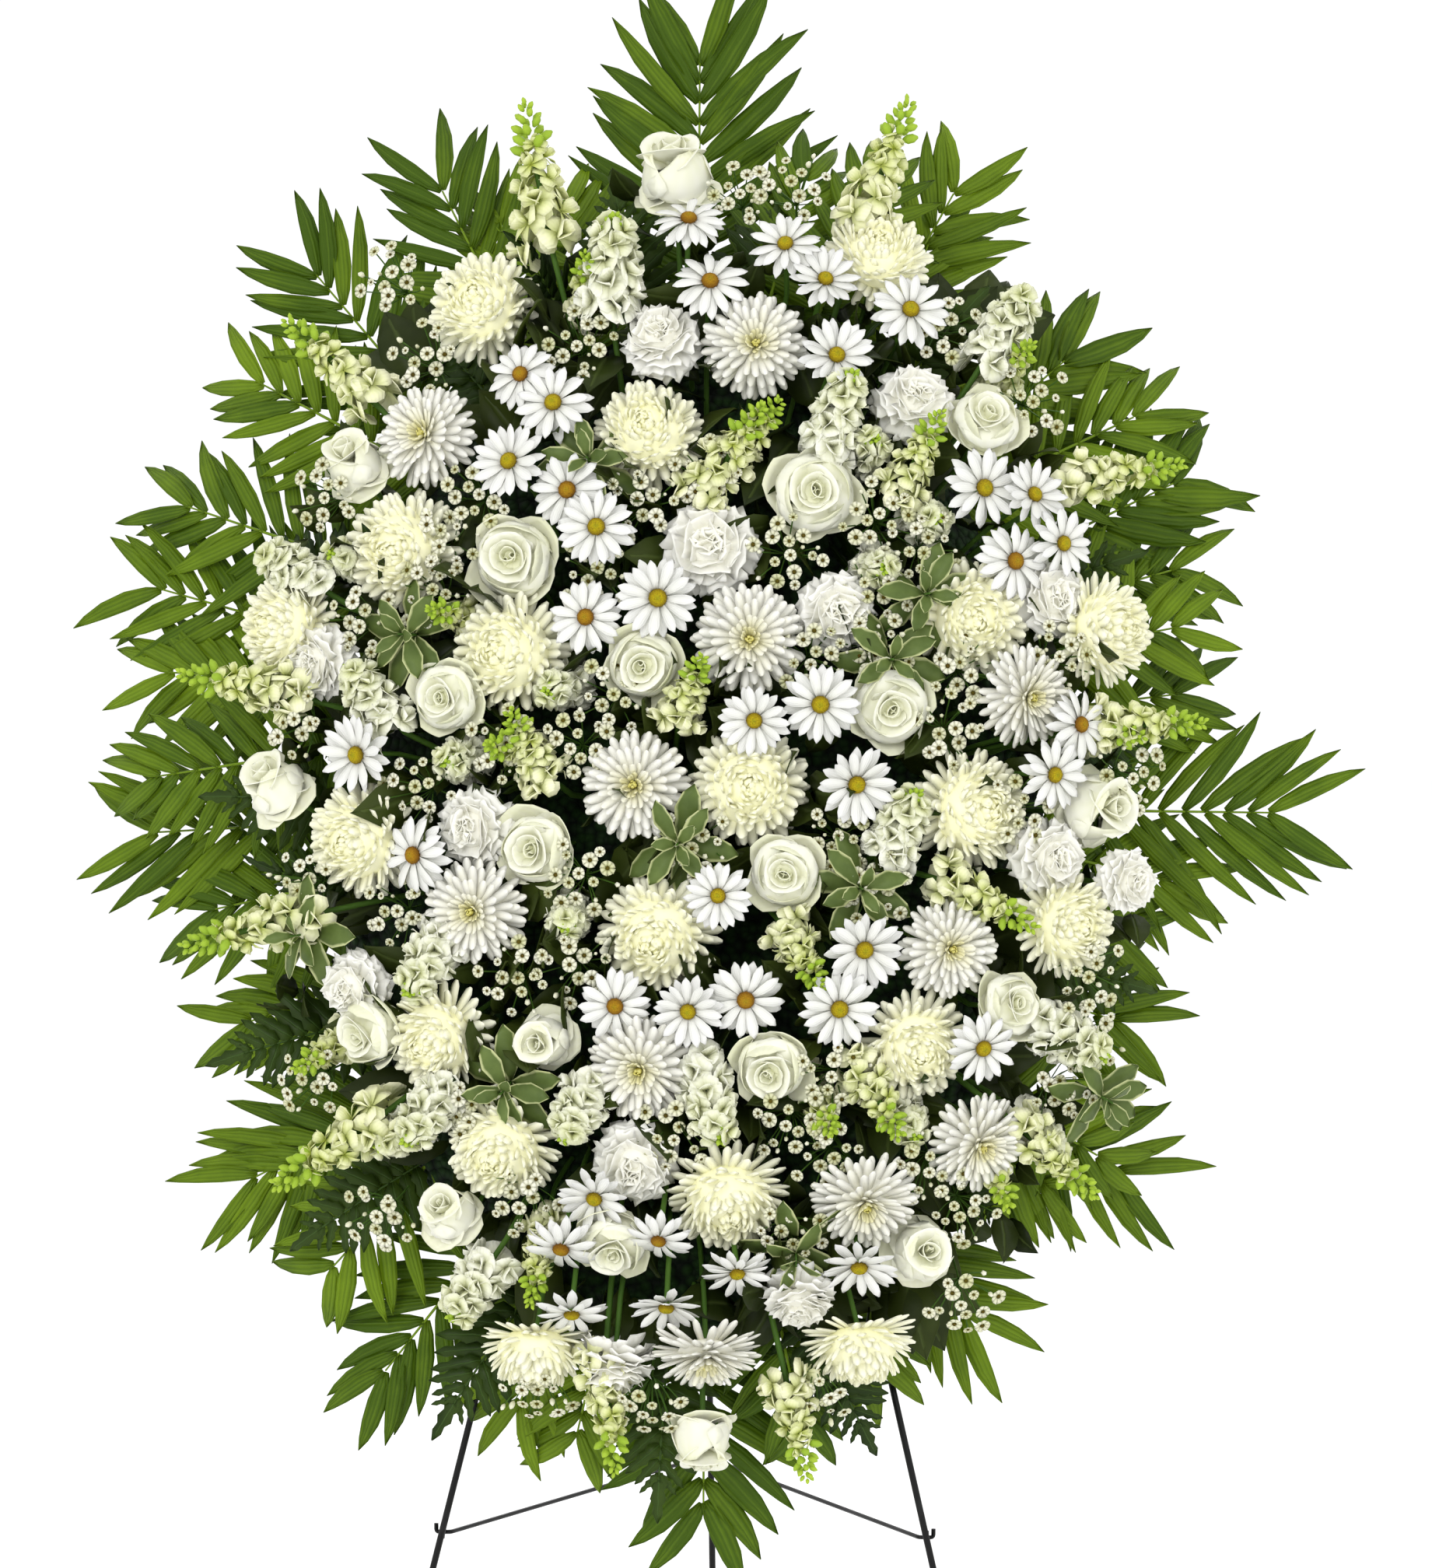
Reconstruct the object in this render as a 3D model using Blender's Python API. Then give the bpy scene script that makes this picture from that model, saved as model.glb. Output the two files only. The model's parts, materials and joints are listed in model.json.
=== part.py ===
"""Standing funeral spray: white flowers and palm fronds in wet foam, tied to a folding wire easel.

X runs across the spray, to the right of someone who faces it. Y runs back, from the flowers to the rear leg.
Z is up. The floor is Z = 0. Lengths are metres. The origin is the middle of the object's footprint on the floor.

The easel's front frame leans back. Points on it are given as (x, v, w): x across, v up along the frame
from the line between the feet, and w out of the frame, towards the viewer.
"""

import math

import bmesh
import bpy
from mathutils import Matrix, Vector

# --- driving dimensions: easel -------------------------------------------------------------------
APEX_HEIGHT = 1.155  # pivot bolt above the floor
FRAME_LEAN = math.radians(12.0)  # front legs, back from vertical
REAR_SPLAY = math.radians(13.0)  # rear leg, back from vertical
SIDE_SPLAY = 0.24  # a front leg's sideways run per metre of height
LEG_R = 0.00275  # leg wire
BAR_R = 0.0025  # cross bar wire
BRACE_R = 0.00175  # brace wire
TAB_T = 0.003  # flattened top of a front leg
REAR_TAB_T = 0.004
TAB_HALF_WIDTH = 0.0065
BOLT_R = 0.0025
BRACE_HEIGHT = 0.356  # brace eyes above the floor
EYE_OUTER_R, EYE_INNER_R, EYE_T = 0.0055, 0.0023, 0.003
UPPER_BAR_V, UPPER_BAR_HALF = 1.06, 0.085
LOWER_BAR_V, LOWER_BAR_HALF = 0.70, 0.125

# --- driving dimensions: foam holder ---------------------------------------------------------------
GAP = 0.0003  # between pieces that touch
TRAY_LOW_V, TRAY_HIGH_V = 0.600, 1.190
TRAY_WALL, TRAY_WALL_HEIGHT, TRAY_FLANGE = 0.003, 0.0276, 0.015
FOAM_HALF_WIDTH, FOAM_DEPTH = 0.055, 0.075
STRAP_T, STRAP_WIDTH = 0.0015, 0.012
TIE_T, TIE_WIDTH = 0.0012, 0.0048

# --- driving dimensions: spray -----------------------------------------------------------------------
# the flowers are laid out on an upright chart, and each goes on the line from the eye through its place
CHART_X, CHART_Y, CHART_HEIGHT = 0.0135, 0.118, 0.965  # middle of the chart
CHART_EYE = Vector((0.334, -4.958, 1.316))
BED_BACK_W, BED_RISE = 0.048, 0.088  # greens bed: back plane and rise at its middle
BED_HALF_WIDTH, BED_HALF_HEIGHT = 0.30, 0.44
DOME_HALF_WIDTH, DOME_HALF_HEIGHT = 0.45, 0.60  # where the dome of flowers comes down to the fronds
DOME_EDGE_W, DOME_RISE = 0.062, 0.17
STEM_R = 0.0022
FROND_T = 0.0016
FROND_LAYERS = (0.0375, 0.0410, 0.0445)  # w of the three layers that keep neighbouring fronds apart

BAR_W = LEG_R + GAP + BAR_R  # the cross bars lie on the front of the legs
TRAY_BACK_W = BAR_W + BAR_R + GAP
FOAM_BACK_W = TRAY_BACK_W + TRAY_WALL + GAP
FOAM_FRONT_W = FOAM_BACK_W + FOAM_DEPTH
TAB_X = REAR_TAB_T / 2 + GAP + TAB_T / 2  # middle of a front leg's tab
APEX = Vector((0.0, APEX_HEIGHT * math.tan(FRAME_LEAN), APEX_HEIGHT))
OUTWARDS = Vector((0.0, -math.cos(FRAME_LEAN), math.sin(FRAME_LEAN)))


# --- frames and helpers --------------------------------------------------------------------------
def on_frame(x, v, w):
    """The point x across, v up along the front frame and w out of it."""
    up = Vector((0.0, math.sin(FRAME_LEAN), math.cos(FRAME_LEAN)))
    return Vector((x, 0.0, 0.0)) + v * up + w * OUTWARDS


def frame_v(height, w):
    """How far up the frame a point w out of it has this height above the floor."""
    return (height - w * math.sin(FRAME_LEAN)) / math.cos(FRAME_LEAN)


def leg_x(height):
    """How far a front leg's middle line is from the middle of the easel."""
    return TAB_X + SIDE_SPLAY * (APEX_HEIGHT - height)


def make_object(name, mesh, material, smooth_angle=None):
    obj = bpy.data.objects.new(name, mesh)
    bpy.context.scene.collection.objects.link(obj)
    mesh.materials.append(material)
    if smooth_angle is not None:
        mesh.shade_smooth()
        mesh.set_sharp_from_angle(angle=math.radians(smooth_angle))
    return obj


def mesh_from(points, faces):
    mesh = bpy.data.meshes.new("shape")
    mesh.from_pydata([tuple(p) for p in points], [], faces)
    bm = bmesh.new()
    bm.from_mesh(mesh)
    bmesh.ops.recalc_face_normals(bm, faces=bm.faces)
    bm.to_mesh(mesh)
    bm.free()
    return mesh


def box_mesh(low, high, place=on_frame):
    """A box between two corners in frame coordinates."""
    corners = [
        place(x, v, w)
        for x in (low[0], high[0])
        for v in (low[1], high[1])
        for w in (low[2], high[2])
    ]
    faces = [(0, 1, 3, 2), (4, 6, 7, 5), (0, 4, 5, 1), (2, 3, 7, 6), (0, 2, 6, 4), (1, 5, 7, 3)]
    return mesh_from(corners, faces)


def extruded_mesh(outline, place, low, high):
    """A closed 2D outline carried from low to high. place(a, b, c) gives the point."""
    n = len(outline)
    points = [place(a, b, low) for a, b in outline] + [place(a, b, high) for a, b in outline]
    faces = [tuple(range(n)), tuple(range(2 * n - 1, n - 1, -1))]
    faces += [(i, (i + 1) % n, n + (i + 1) % n, n + i) for i in range(n)]
    return mesh_from(points, faces)


def circle(radius, sides, turn=0.0):
    return [
        (radius * math.cos(turn + math.tau * k / sides), radius * math.sin(turn + math.tau * k / sides))
        for k in range(sides)
    ]


def rounded(path, radius, steps=3):
    """The path with each inner corner replaced by a short curve."""
    out = [path[0]]
    for before, corner, after in zip(path, path[1:], path[2:]):
        reach = min(radius, (corner - before).length / 2, (after - corner).length / 2)
        start = corner + (before - corner).normalized() * reach
        end = corner + (after - corner).normalized() * reach
        for k in range(steps + 1):
            t = k / steps
            out.append((1 - t) ** 2 * start + 2 * t * (1 - t) * corner + t**2 * end)
    return out + [path[-1]]


def sweep_mesh(path, radii, sides, lobes=0, lobe_depth=0.0, first_ring=None, first_normal=None):
    """A round bar along a path, closed at both ends. Its radius changes along the path.

    With lobes, the rings from first_ring on are waved round the edge, as petals are.
    first_normal turns the first ring to lie flat on what the bar grows from.
    """
    tangents = []
    for i in range(len(path)):
        ahead = path[min(i + 1, len(path) - 1)] - path[max(i - 1, 0)]
        tangents.append(ahead.normalized())
    if first_normal is not None:
        tangents[0] = first_normal.normalized()
    side = tangents[0].orthogonal().normalized()
    points, rings = [], []
    for i, (middle, radius, ahead) in enumerate(zip(path, radii, tangents)):
        side = (side - side.dot(ahead) * ahead).normalized()
        across = ahead.cross(side)
        waved = first_ring is not None and i >= first_ring
        ring = []
        for k in range(sides):
            angle = math.tau * k / sides
            wave = 1 + lobe_depth * math.cos(lobes * angle) if waved else 1
            ring.append(len(points))
            points.append(middle + radius * wave * (math.cos(angle) * side + math.sin(angle) * across))
        rings.append(ring)
    faces = []
    for low, high in zip(rings, rings[1:]):
        for k in range(sides):
            faces.append((low[k], low[(k + 1) % sides], high[(k + 1) % sides], high[k]))
    faces += [tuple(reversed(rings[0])), tuple(rings[-1])]
    return mesh_from(points, faces)


def tube_mesh(path, radius, sides=10):
    return sweep_mesh(path, [radius] * len(path), sides)


def upright_tube_mesh(foot, top, radius, sides=12):
    """A straight wire between two heights, cut level at both ends."""
    points = [end + Vector((a, b, 0.0)) for end in (foot, top) for a, b in circle(radius, sides)]
    faces = [(k, (k + 1) % sides, sides + (k + 1) % sides, sides + k) for k in range(sides)]
    faces += [tuple(reversed(range(sides))), tuple(range(sides, 2 * sides))]
    return mesh_from(points, faces)


def cutter(name, mesh):
    """A helper that a Boolean uses. It isn't part of the object."""
    obj = bpy.data.objects.new(name, mesh)
    bpy.context.scene.collection.objects.link(obj)
    obj.hide_render = True
    obj.display_type = "WIRE"
    return obj


def combine(obj, operation, helper):
    modifier = obj.modifiers.new(operation.title(), "BOOLEAN")
    modifier.operation = operation
    modifier.object = helper


def material(name, colour, roughness, metallic=0.0):
    made = bpy.data.materials.new(name)
    made.use_nodes = True
    shader = made.node_tree.nodes["Principled BSDF"]
    shader.inputs["Base Color"].default_value = (*colour, 1.0)
    shader.inputs["Roughness"].default_value = roughness
    shader.inputs["Metallic"].default_value = metallic
    return made


# --- easel -----------------------------------------------------------------------------------------
def tab_outline(length, lean):
    """The flattened top of a leg in (y, z) from the bolt: round over the bolt, straight down the leg."""
    down = Vector((-math.sin(lean), -math.cos(lean)))
    aside = Vector((math.cos(lean), -math.sin(lean)))
    arc = []
    for k in range(9):
        angle = math.pi * k / 8
        arc.append(TAB_HALF_WIDTH * (math.cos(angle) * aside - math.sin(angle) * down))
    ends = [down * length - TAB_HALF_WIDTH * aside, down * length + TAB_HALF_WIDTH * aside]
    return [tuple(p) for p in arc + ends]


def add_leg(name, foot, top, tab_x, tab_t, tab_length, lean, wire):
    """A leg of wire with a flattened, drilled top."""
    leg = make_object(name, upright_tube_mesh(foot, top, LEG_R), wire, 40)

    def at_apex(y, z, x):
        return APEX + Vector((x, y, z))

    low, high = tab_x - tab_t / 2, tab_x + tab_t / 2
    tab = cutter(name + "_tab", extruded_mesh(tab_outline(tab_length, lean), at_apex, low, high))
    combine(leg, "UNION", tab)
    hole = extruded_mesh(circle(BOLT_R + GAP, 16), at_apex, low - 0.01, high + 0.01)
    combine(leg, "DIFFERENCE", cutter(name + "_hole", hole))
    return leg


def add_front_legs(wire):
    wire_top = APEX_HEIGHT - 0.008  # stays below the bolt head
    for name, side in (("left_front_leg", -1), ("right_front_leg", 1)):
        foot = Vector((side * leg_x(0.0), 0.0, 0.0))
        top = Vector((side * leg_x(wire_top), wire_top * math.tan(FRAME_LEAN), wire_top))
        add_leg(name, foot, top, side * TAB_X, TAB_T, 0.020, FRAME_LEAN, wire)


def rear_leg_y(height):
    return APEX.y + (APEX_HEIGHT - height) * math.tan(REAR_SPLAY)


def add_rear_leg(wire):
    wire_top = APEX_HEIGHT - 0.028  # the thick wire stays below the front legs' tabs
    foot = Vector((0.0, rear_leg_y(0.0), 0.0))
    top = Vector((0.0, rear_leg_y(wire_top), wire_top))
    return add_leg("rear_leg", foot, top, 0.0, REAR_TAB_T, 0.034, -REAR_SPLAY, wire)


def add_pivot(zinc):
    """The bolt that all three legs turn on, and its nut."""
    grip = REAR_TAB_T / 2 + GAP + TAB_T + GAP  # from the middle to the head's or nut's face
    head_r, head_t, nut_t, stand_out = 0.0045, 0.0025, 0.0036, 0.0012

    def across(a, b, x):
        return APEX + Vector((x, a, b))

    shank = extruded_mesh(circle(BOLT_R, 16), across, -grip - head_t / 2, grip + nut_t + stand_out)
    bolt = make_object("pivot_bolt", shank, zinc, 40)
    head = extruded_mesh(circle(head_r, 16), across, -grip - head_t, -grip)
    combine(bolt, "UNION", cutter("pivot_bolt_head", head))
    nut = extruded_mesh(circle(0.0046, 6), across, grip, grip + nut_t)
    nut = make_object("pivot_nut", nut, zinc, 20)
    bore = extruded_mesh(circle(BOLT_R + GAP, 16), across, grip - 0.01, grip + nut_t + 0.01)
    combine(nut, "DIFFERENCE", cutter("pivot_nut_bore", bore))


def add_cross_bars(wire):
    for name, v, half in (
        ("upper_cross_bar", UPPER_BAR_V, UPPER_BAR_HALF),
        ("lower_cross_bar", LOWER_BAR_V, LOWER_BAR_HALF),
    ):
        ends = [on_frame(-half, v, BAR_W), on_frame(half, v, BAR_W)]
        make_object(name, tube_mesh(ends, BAR_R, 12), wire, 40)


def eye_centre(side):
    """The middle of the eye that a brace turns in, behind a front leg."""
    behind = (EYE_OUTER_R + GAP + LEG_R) / math.cos(FRAME_LEAN)
    return Vector((side * leg_x(BRACE_HEIGHT), BRACE_HEIGHT * math.tan(FRAME_LEAN) + behind, BRACE_HEIGHT))


def add_brace_eyes(wire):
    for name, side in (("left_brace_eye", -1), ("right_brace_eye", 1)):
        centre = eye_centre(side)

        def across(a, b, x):
            return centre + Vector((x, a, b))

        ring = extruded_mesh(circle(EYE_OUTER_R, 20), across, -EYE_T / 2, EYE_T / 2)
        ring = make_object(name, ring, wire, 40)
        hole = extruded_mesh(circle(EYE_INNER_R, 14), across, -EYE_T, EYE_T)
        combine(ring, "DIFFERENCE", cutter(name + "_hole", hole))


def brace_path(side, hook_height):
    """From the turned-up end, through the eye, to the open hook behind the rear leg."""
    eye = eye_centre(side)
    end_up, end_out, start_in = 0.007, 0.0052, 0.0065
    pin_outer = eye + Vector((side * end_out, 0.0, 0.0))
    pin_inner = eye - Vector((side * start_in, 0.0, 0.0))
    hook_r = LEG_R + BRACE_R + 0.0010
    hook_centre = Vector((0.0, rear_leg_y(hook_height), hook_height))
    run = (hook_centre - pin_inner).normalized()
    first, last = math.asin(abs(run.x)), math.radians(158.0)  # the hook starts where the run touches it
    hook = []
    for k in range(7):
        angle = first + (last - first) * k / 6
        hook.append(hook_centre + hook_r * Vector((side * math.cos(angle), math.sin(angle), 0.0)))
    corners = [pin_outer + Vector((0.0, 0.0, end_up)), pin_outer, pin_inner, hook[0]]
    return rounded(corners, 0.0025) + hook[1:]


def add_braces(wire):
    hook_step = BRACE_R + 0.00035  # one hook lies above the other
    for name, side, height in (
        ("left_brace", -1, BRACE_HEIGHT + hook_step),
        ("right_brace", 1, BRACE_HEIGHT - hook_step),
    ):
        make_object(name, tube_mesh(brace_path(side, height), BRACE_R, 8), wire, 50)


# --- foam holder -------------------------------------------------------------------------------------
def tie_places():
    """(name, x, v) of each cable tie, over a cross bar at the tray's flange."""
    x = FOAM_HALF_WIDTH + GAP + TRAY_WALL + TRAY_FLANGE / 2
    return [
        (f"cable_tie_{row}_{side}", sign * x, v)
        for row, v in (("upper", UPPER_BAR_V), ("lower", LOWER_BAR_V))
        for side, sign in (("left", -1), ("right", 1))
    ]


TIE_HALF_V = BAR_R + GAP + TIE_T  # outside of a tie's loop, up and down the frame


def add_tray(plastic):
    inner_x = FOAM_HALF_WIDTH + GAP
    outer_x = inner_x + TRAY_WALL
    low, high = TRAY_LOW_V, TRAY_HIGH_V
    flange = box_mesh(
        (-outer_x - TRAY_FLANGE, low, TRAY_BACK_W),
        (outer_x + TRAY_FLANGE, high, TRAY_BACK_W + TRAY_WALL),
    )
    tray = make_object("spray_tray", flange, plastic)
    rim_w = TRAY_BACK_W + TRAY_WALL_HEIGHT
    walls = box_mesh((-outer_x, low + 0.0002, TRAY_BACK_W + 0.001), (outer_x, high - 0.0002, rim_w))
    combine(tray, "UNION", cutter("tray_walls", walls))
    pocket = box_mesh(
        (-inner_x, low + TRAY_WALL, TRAY_BACK_W + TRAY_WALL),
        (inner_x, high - TRAY_WALL, rim_w + 0.01),
    )
    combine(tray, "DIFFERENCE", cutter("tray_pocket", pocket))
    slot_half_x, slot_half_v = TIE_WIDTH / 2 + 0.0006, TIE_T / 2 + 0.0006
    for name, x, v in tie_places():
        for end in (-1, 1):
            middle = v + end * (TIE_HALF_V - TIE_T / 2)
            slot = box_mesh(
                (x - slot_half_x, middle - slot_half_v, TRAY_BACK_W - 0.002),
                (x + slot_half_x, middle + slot_half_v, TRAY_BACK_W + TRAY_WALL + 0.002),
            )
            combine(tray, "DIFFERENCE", cutter(f"{name}_slot_{end}", slot))


def foam_spans():
    """(name, low v, high v) of the two bricks that fill the tray."""
    low, high = TRAY_LOW_V + TRAY_WALL + GAP, TRAY_HIGH_V - TRAY_WALL - GAP
    middle = (low + high) / 2
    return [("foam_brick_lower", low, middle - GAP / 2), ("foam_brick_upper", middle + GAP / 2, high)]


def add_foam(foam):
    for name, low, high in foam_spans():
        corner_low = (-FOAM_HALF_WIDTH, low, FOAM_BACK_W)
        corner_high = (FOAM_HALF_WIDTH, high, FOAM_FRONT_W)
        make_object(name, box_mesh(corner_low, corner_high), foam)


def add_straps(plastic):
    """A band over the middle of each brick, down outside the tray's walls."""
    outer = FOAM_HALF_WIDTH + 2 * GAP + TRAY_WALL + STRAP_T
    foot_w = TRAY_BACK_W + TRAY_WALL + GAP
    top_w = FOAM_FRONT_W + GAP + STRAP_T
    inner = outer - STRAP_T
    outline = [
        (-outer, foot_w), (-outer, top_w), (outer, top_w), (outer, foot_w),
        (inner, foot_w), (inner, top_w - STRAP_T), (-inner, top_w - STRAP_T), (-inner, foot_w),
    ]
    for (_, low, high), name in zip(foam_spans(), ("foam_strap_lower", "foam_strap_upper")):
        middle = (low + high) / 2

        def across(x, w, v):
            return on_frame(x, v, w)

        half = STRAP_WIDTH / 2
        make_object(name, extruded_mesh(outline, across, middle - half, middle + half), plastic)


def add_ties(nylon):
    """A loop through two slots of the tray's flange and round the back of a cross bar, with its head."""
    back_w = BAR_W - BAR_R - GAP - TIE_T
    front_w = TRAY_BACK_W + TRAY_WALL + GAP + TIE_T
    for name, x, v in tie_places():

        def along(a, w, across_x):
            return on_frame(x + across_x, v + a, w)

        half = TIE_WIDTH / 2
        loop = [(-TIE_HALF_V, back_w), (TIE_HALF_V, back_w), (TIE_HALF_V, front_w), (-TIE_HALF_V, front_w)]
        tie = make_object(name, extruded_mesh(loop, along, -half, half), nylon)
        inner_v = TIE_HALF_V - TIE_T
        hole = [
            (-inner_v, back_w + TIE_T), (inner_v, back_w + TIE_T),
            (inner_v, front_w - TIE_T), (-inner_v, front_w - TIE_T),
        ]
        combine(tie, "DIFFERENCE", cutter(name + "_hole", extruded_mesh(hole, along, -0.01, 0.01)))
        head = box_mesh((x - 0.0032, v - 0.0028, front_w - 0.0004), (x + 0.0032, v + 0.0028, front_w + 0.0035))
        combine(tie, "UNION", cutter(name + "_head", head))


# --- greens bed --------------------------------------------------------------------------------------
CHART_V = frame_v(CHART_HEIGHT, 0.0) - 0.045  # middle of the greens bed along the frame


def bed_rise(x, v):
    """How far the bed's surface is out of its back plane, and the surface's outward direction."""
    inside = 1 - (x / BED_HALF_WIDTH) ** 2 - ((v - CHART_V) / BED_HALF_HEIGHT) ** 2
    rise = BED_RISE * math.sqrt(max(inside, 0.0))
    slope = Vector((x / BED_HALF_WIDTH**2, (v - CHART_V) / BED_HALF_HEIGHT**2, rise / BED_RISE**2))
    return rise, slope.normalized()


def frame_direction(direction):
    """A direction in (x, v, w) as one in (x, y, z)."""
    return on_frame(direction.x, direction.y, direction.z)


def add_bed(leaf):
    """The cushion of foliage and crowded stems that hides the foam, with a pocket for foam and straps."""
    around, rings = 28, 6
    points = [on_frame(0.0, CHART_V, BED_BACK_W + BED_RISE)]
    for j in range(1, rings + 1):
        polar = math.pi / 2 * j / rings
        for k in range(around):
            angle = math.tau * k / around
            x = BED_HALF_WIDTH * math.sin(polar) * math.cos(angle)
            v = CHART_V + BED_HALF_HEIGHT * math.sin(polar) * math.sin(angle)
            points.append(on_frame(x, v, BED_BACK_W + BED_RISE * math.cos(polar)))
    faces = [(0, 1 + k, 1 + (k + 1) % around) for k in range(around)]
    for j in range(rings - 1):
        for k in range(around):
            near, far = 1 + j * around, 1 + (j + 1) * around
            faces.append((near + k, far + k, far + (k + 1) % around, near + (k + 1) % around))
    faces.append(tuple(reversed(range(1 + (rings - 1) * around, 1 + rings * around))))
    bed = make_object("greens_bed", mesh_from(points, faces), leaf, 60)
    clear = 0.0006
    half = FOAM_HALF_WIDTH + 2 * GAP + TRAY_WALL + STRAP_T + clear
    pocket = box_mesh(
        (-half, TRAY_LOW_V - clear, BED_BACK_W - 0.02),
        (half, TRAY_HIGH_V + clear, FOAM_FRONT_W + GAP + STRAP_T + clear),
    )
    combine(bed, "DIFFERENCE", cutter("greens_bed_pocket", pocket))


# --- fronds --------------------------------------------------------------------------------------------
# name: root in cm, from the easel's middle and in height on the flower chart, heading in degrees from
# straight up towards the right, length from root to the last pair of leaflets in cm, pairs of leaflets,
# longest leaflet in cm, layer
FRONDS = {
    "frond_top": ((0.4, 22.0), -1, 38.0, 9, 14.0, 1),
    "frond_top_left": ((-5.8, 18.0), -27, 35.0, 8, 11.5, 0),
    "frond_top_right": ((5.8, 19.0), 27, 33.5, 8, 10.5, 0),
    "frond_upper_left": ((-5.8, 11.0), -40, 41.0, 9, 12.0, 2),
    "frond_upper_right": ((5.8, 12.0), 47, 33.5, 9, 11.0, 2),
    "frond_shoulder_left": ((-5.8, 4.0), -73, 40.5, 9, 11.0, 0),
    "frond_shoulder_right": ((5.8, 7.0), 62, 38.0, 9, 11.0, 1),
    "frond_left": ((-5.8, -3.0), -92, 38.5, 9, 12.0, 1),
    "frond_right": ((5.8, -3.0), 89, 41.5, 10, 12.5, 0),
    "frond_waist_left": ((-5.8, -10.0), -108, 32.0, 8, 10.5, 2),
    "frond_waist_right": ((5.8, -11.0), 106, 30.0, 8, 10.5, 2),
    "frond_lower_left": ((-5.8, -18.0), -116, 33.0, 8, 11.0, 0),
    "frond_lower_right": ((5.8, -18.0), 115, 32.0, 8, 11.0, 1),
    "frond_bottom_left": ((-5.8, -25.0), -141, 29.5, 8, 11.0, 2),
    "frond_bottom_right": ((5.8, -25.0), 137, 24.5, 8, 10.5, 0),
    "frond_bottom": ((1.7, -37.5), 180, 20.5, 8, 10.5, 1),
}


def leaflet_share(t):
    """A leaflet's length as a share of the longest, from the lowest pair, t = 0, to the last, t = 1."""
    return 0.62 + 0.38 * math.sin(math.pi * min(1.0, 0.18 + 0.72 * t))


def frond_side(length, pairs, longest, side):
    """The outline of one side of a frond: a slim stalk, then pointed leaflets. (aside, along) in metres."""
    petiole = 0.36 * length
    pitch = (length - petiole) / (pairs - 1)
    stalk = 0.0016
    line = [(side * stalk, 0.0)]
    for i in range(pairs):
        t = i / (pairs - 1)
        reach = longest * leaflet_share(t)
        lean = math.radians(70 - 41 * t)
        width = 0.46 * pitch * math.sin(lean) + 0.0006
        out = Vector((side * math.sin(lean), math.cos(lean)))
        up = Vector((-side * math.cos(lean), math.sin(lean)))
        base = Vector((side * stalk, petiole + pitch * i))
        line.append(tuple(base - Vector((0.0, 0.10 * pitch))))
        line.append(tuple(base + 0.45 * reach * out - width * up * 0.8))
        line.append(tuple(base + reach * out))
        line.append(tuple(base + 0.45 * reach * out + width * up * 0.8))
        line.append(tuple(base + Vector((0.0, 0.22 * pitch))))
    return line


def add_frond(name, root, heading, length, pairs, longest, layer, leaf):
    """One flat palm frond, bent back a little towards its tip."""
    right = frond_side(length, pairs, longest, 1)
    left = frond_side(length, pairs, longest, -1)
    outline = right + list(reversed(left))
    x0, v0 = root[0], frame_v(CHART_HEIGHT + root[1], FROND_LAYERS[layer])
    along = Vector((math.sin(heading), math.cos(heading)))
    aside = Vector((along.y, -along.x))

    def bent(a, b, thickness):
        x = x0 + a * aside.x + b * along.x
        v = v0 + a * aside.y + b * along.y
        outside = max(0.0, math.hypot(x, v - CHART_V) - 0.30)
        return on_frame(x, v, FROND_LAYERS[layer] - 0.11 * outside**2 + thickness)

    mesh = extruded_mesh(outline, bent, -FROND_T / 2, FROND_T / 2)
    bm = bmesh.new()
    bm.from_mesh(mesh)
    bmesh.ops.triangulate(bm, faces=bm.faces)
    bm.to_mesh(mesh)
    bm.free()
    make_object(name, mesh, leaf)


def add_fronds(leaf):
    for name, (root, heading, length, pairs, longest, layer) in FRONDS.items():
        root = (root[0] / 100, root[1] / 100)
        add_frond(name, root, math.radians(heading), length / 100, pairs, longest / 100, layer, leaf)


# --- flowers -------------------------------------------------------------------------------------------
# Each outline is a list of (share of the flower's length along its axis, share of its radius).
MUM = [(0.0, 0.20), (0.10, 0.62), (0.30, 0.93), (0.55, 1.0), (0.78, 0.80), (0.93, 0.45), (1.0, 0.12)]
ROSE = [(0.0, 0.22), (0.12, 0.52), (0.35, 0.80), (0.62, 0.98), (0.78, 1.0), (0.92, 0.62), (1.0, 0.20)]
SPIDER_MUM = [(0.0, 0.14), (0.18, 0.40), (0.42, 0.92), (0.60, 1.0), (0.74, 0.62), (1.0, 0.20)]
CARNATION = [(0.0, 0.16), (0.28, 0.20), (0.45, 0.72), (0.66, 1.0), (0.85, 0.86), (1.0, 0.35)]
DAISY = [(0.0, 0.08), (0.40, 0.30), (0.62, 1.0), (0.80, 1.0), (1.0, 0.20)]

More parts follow.
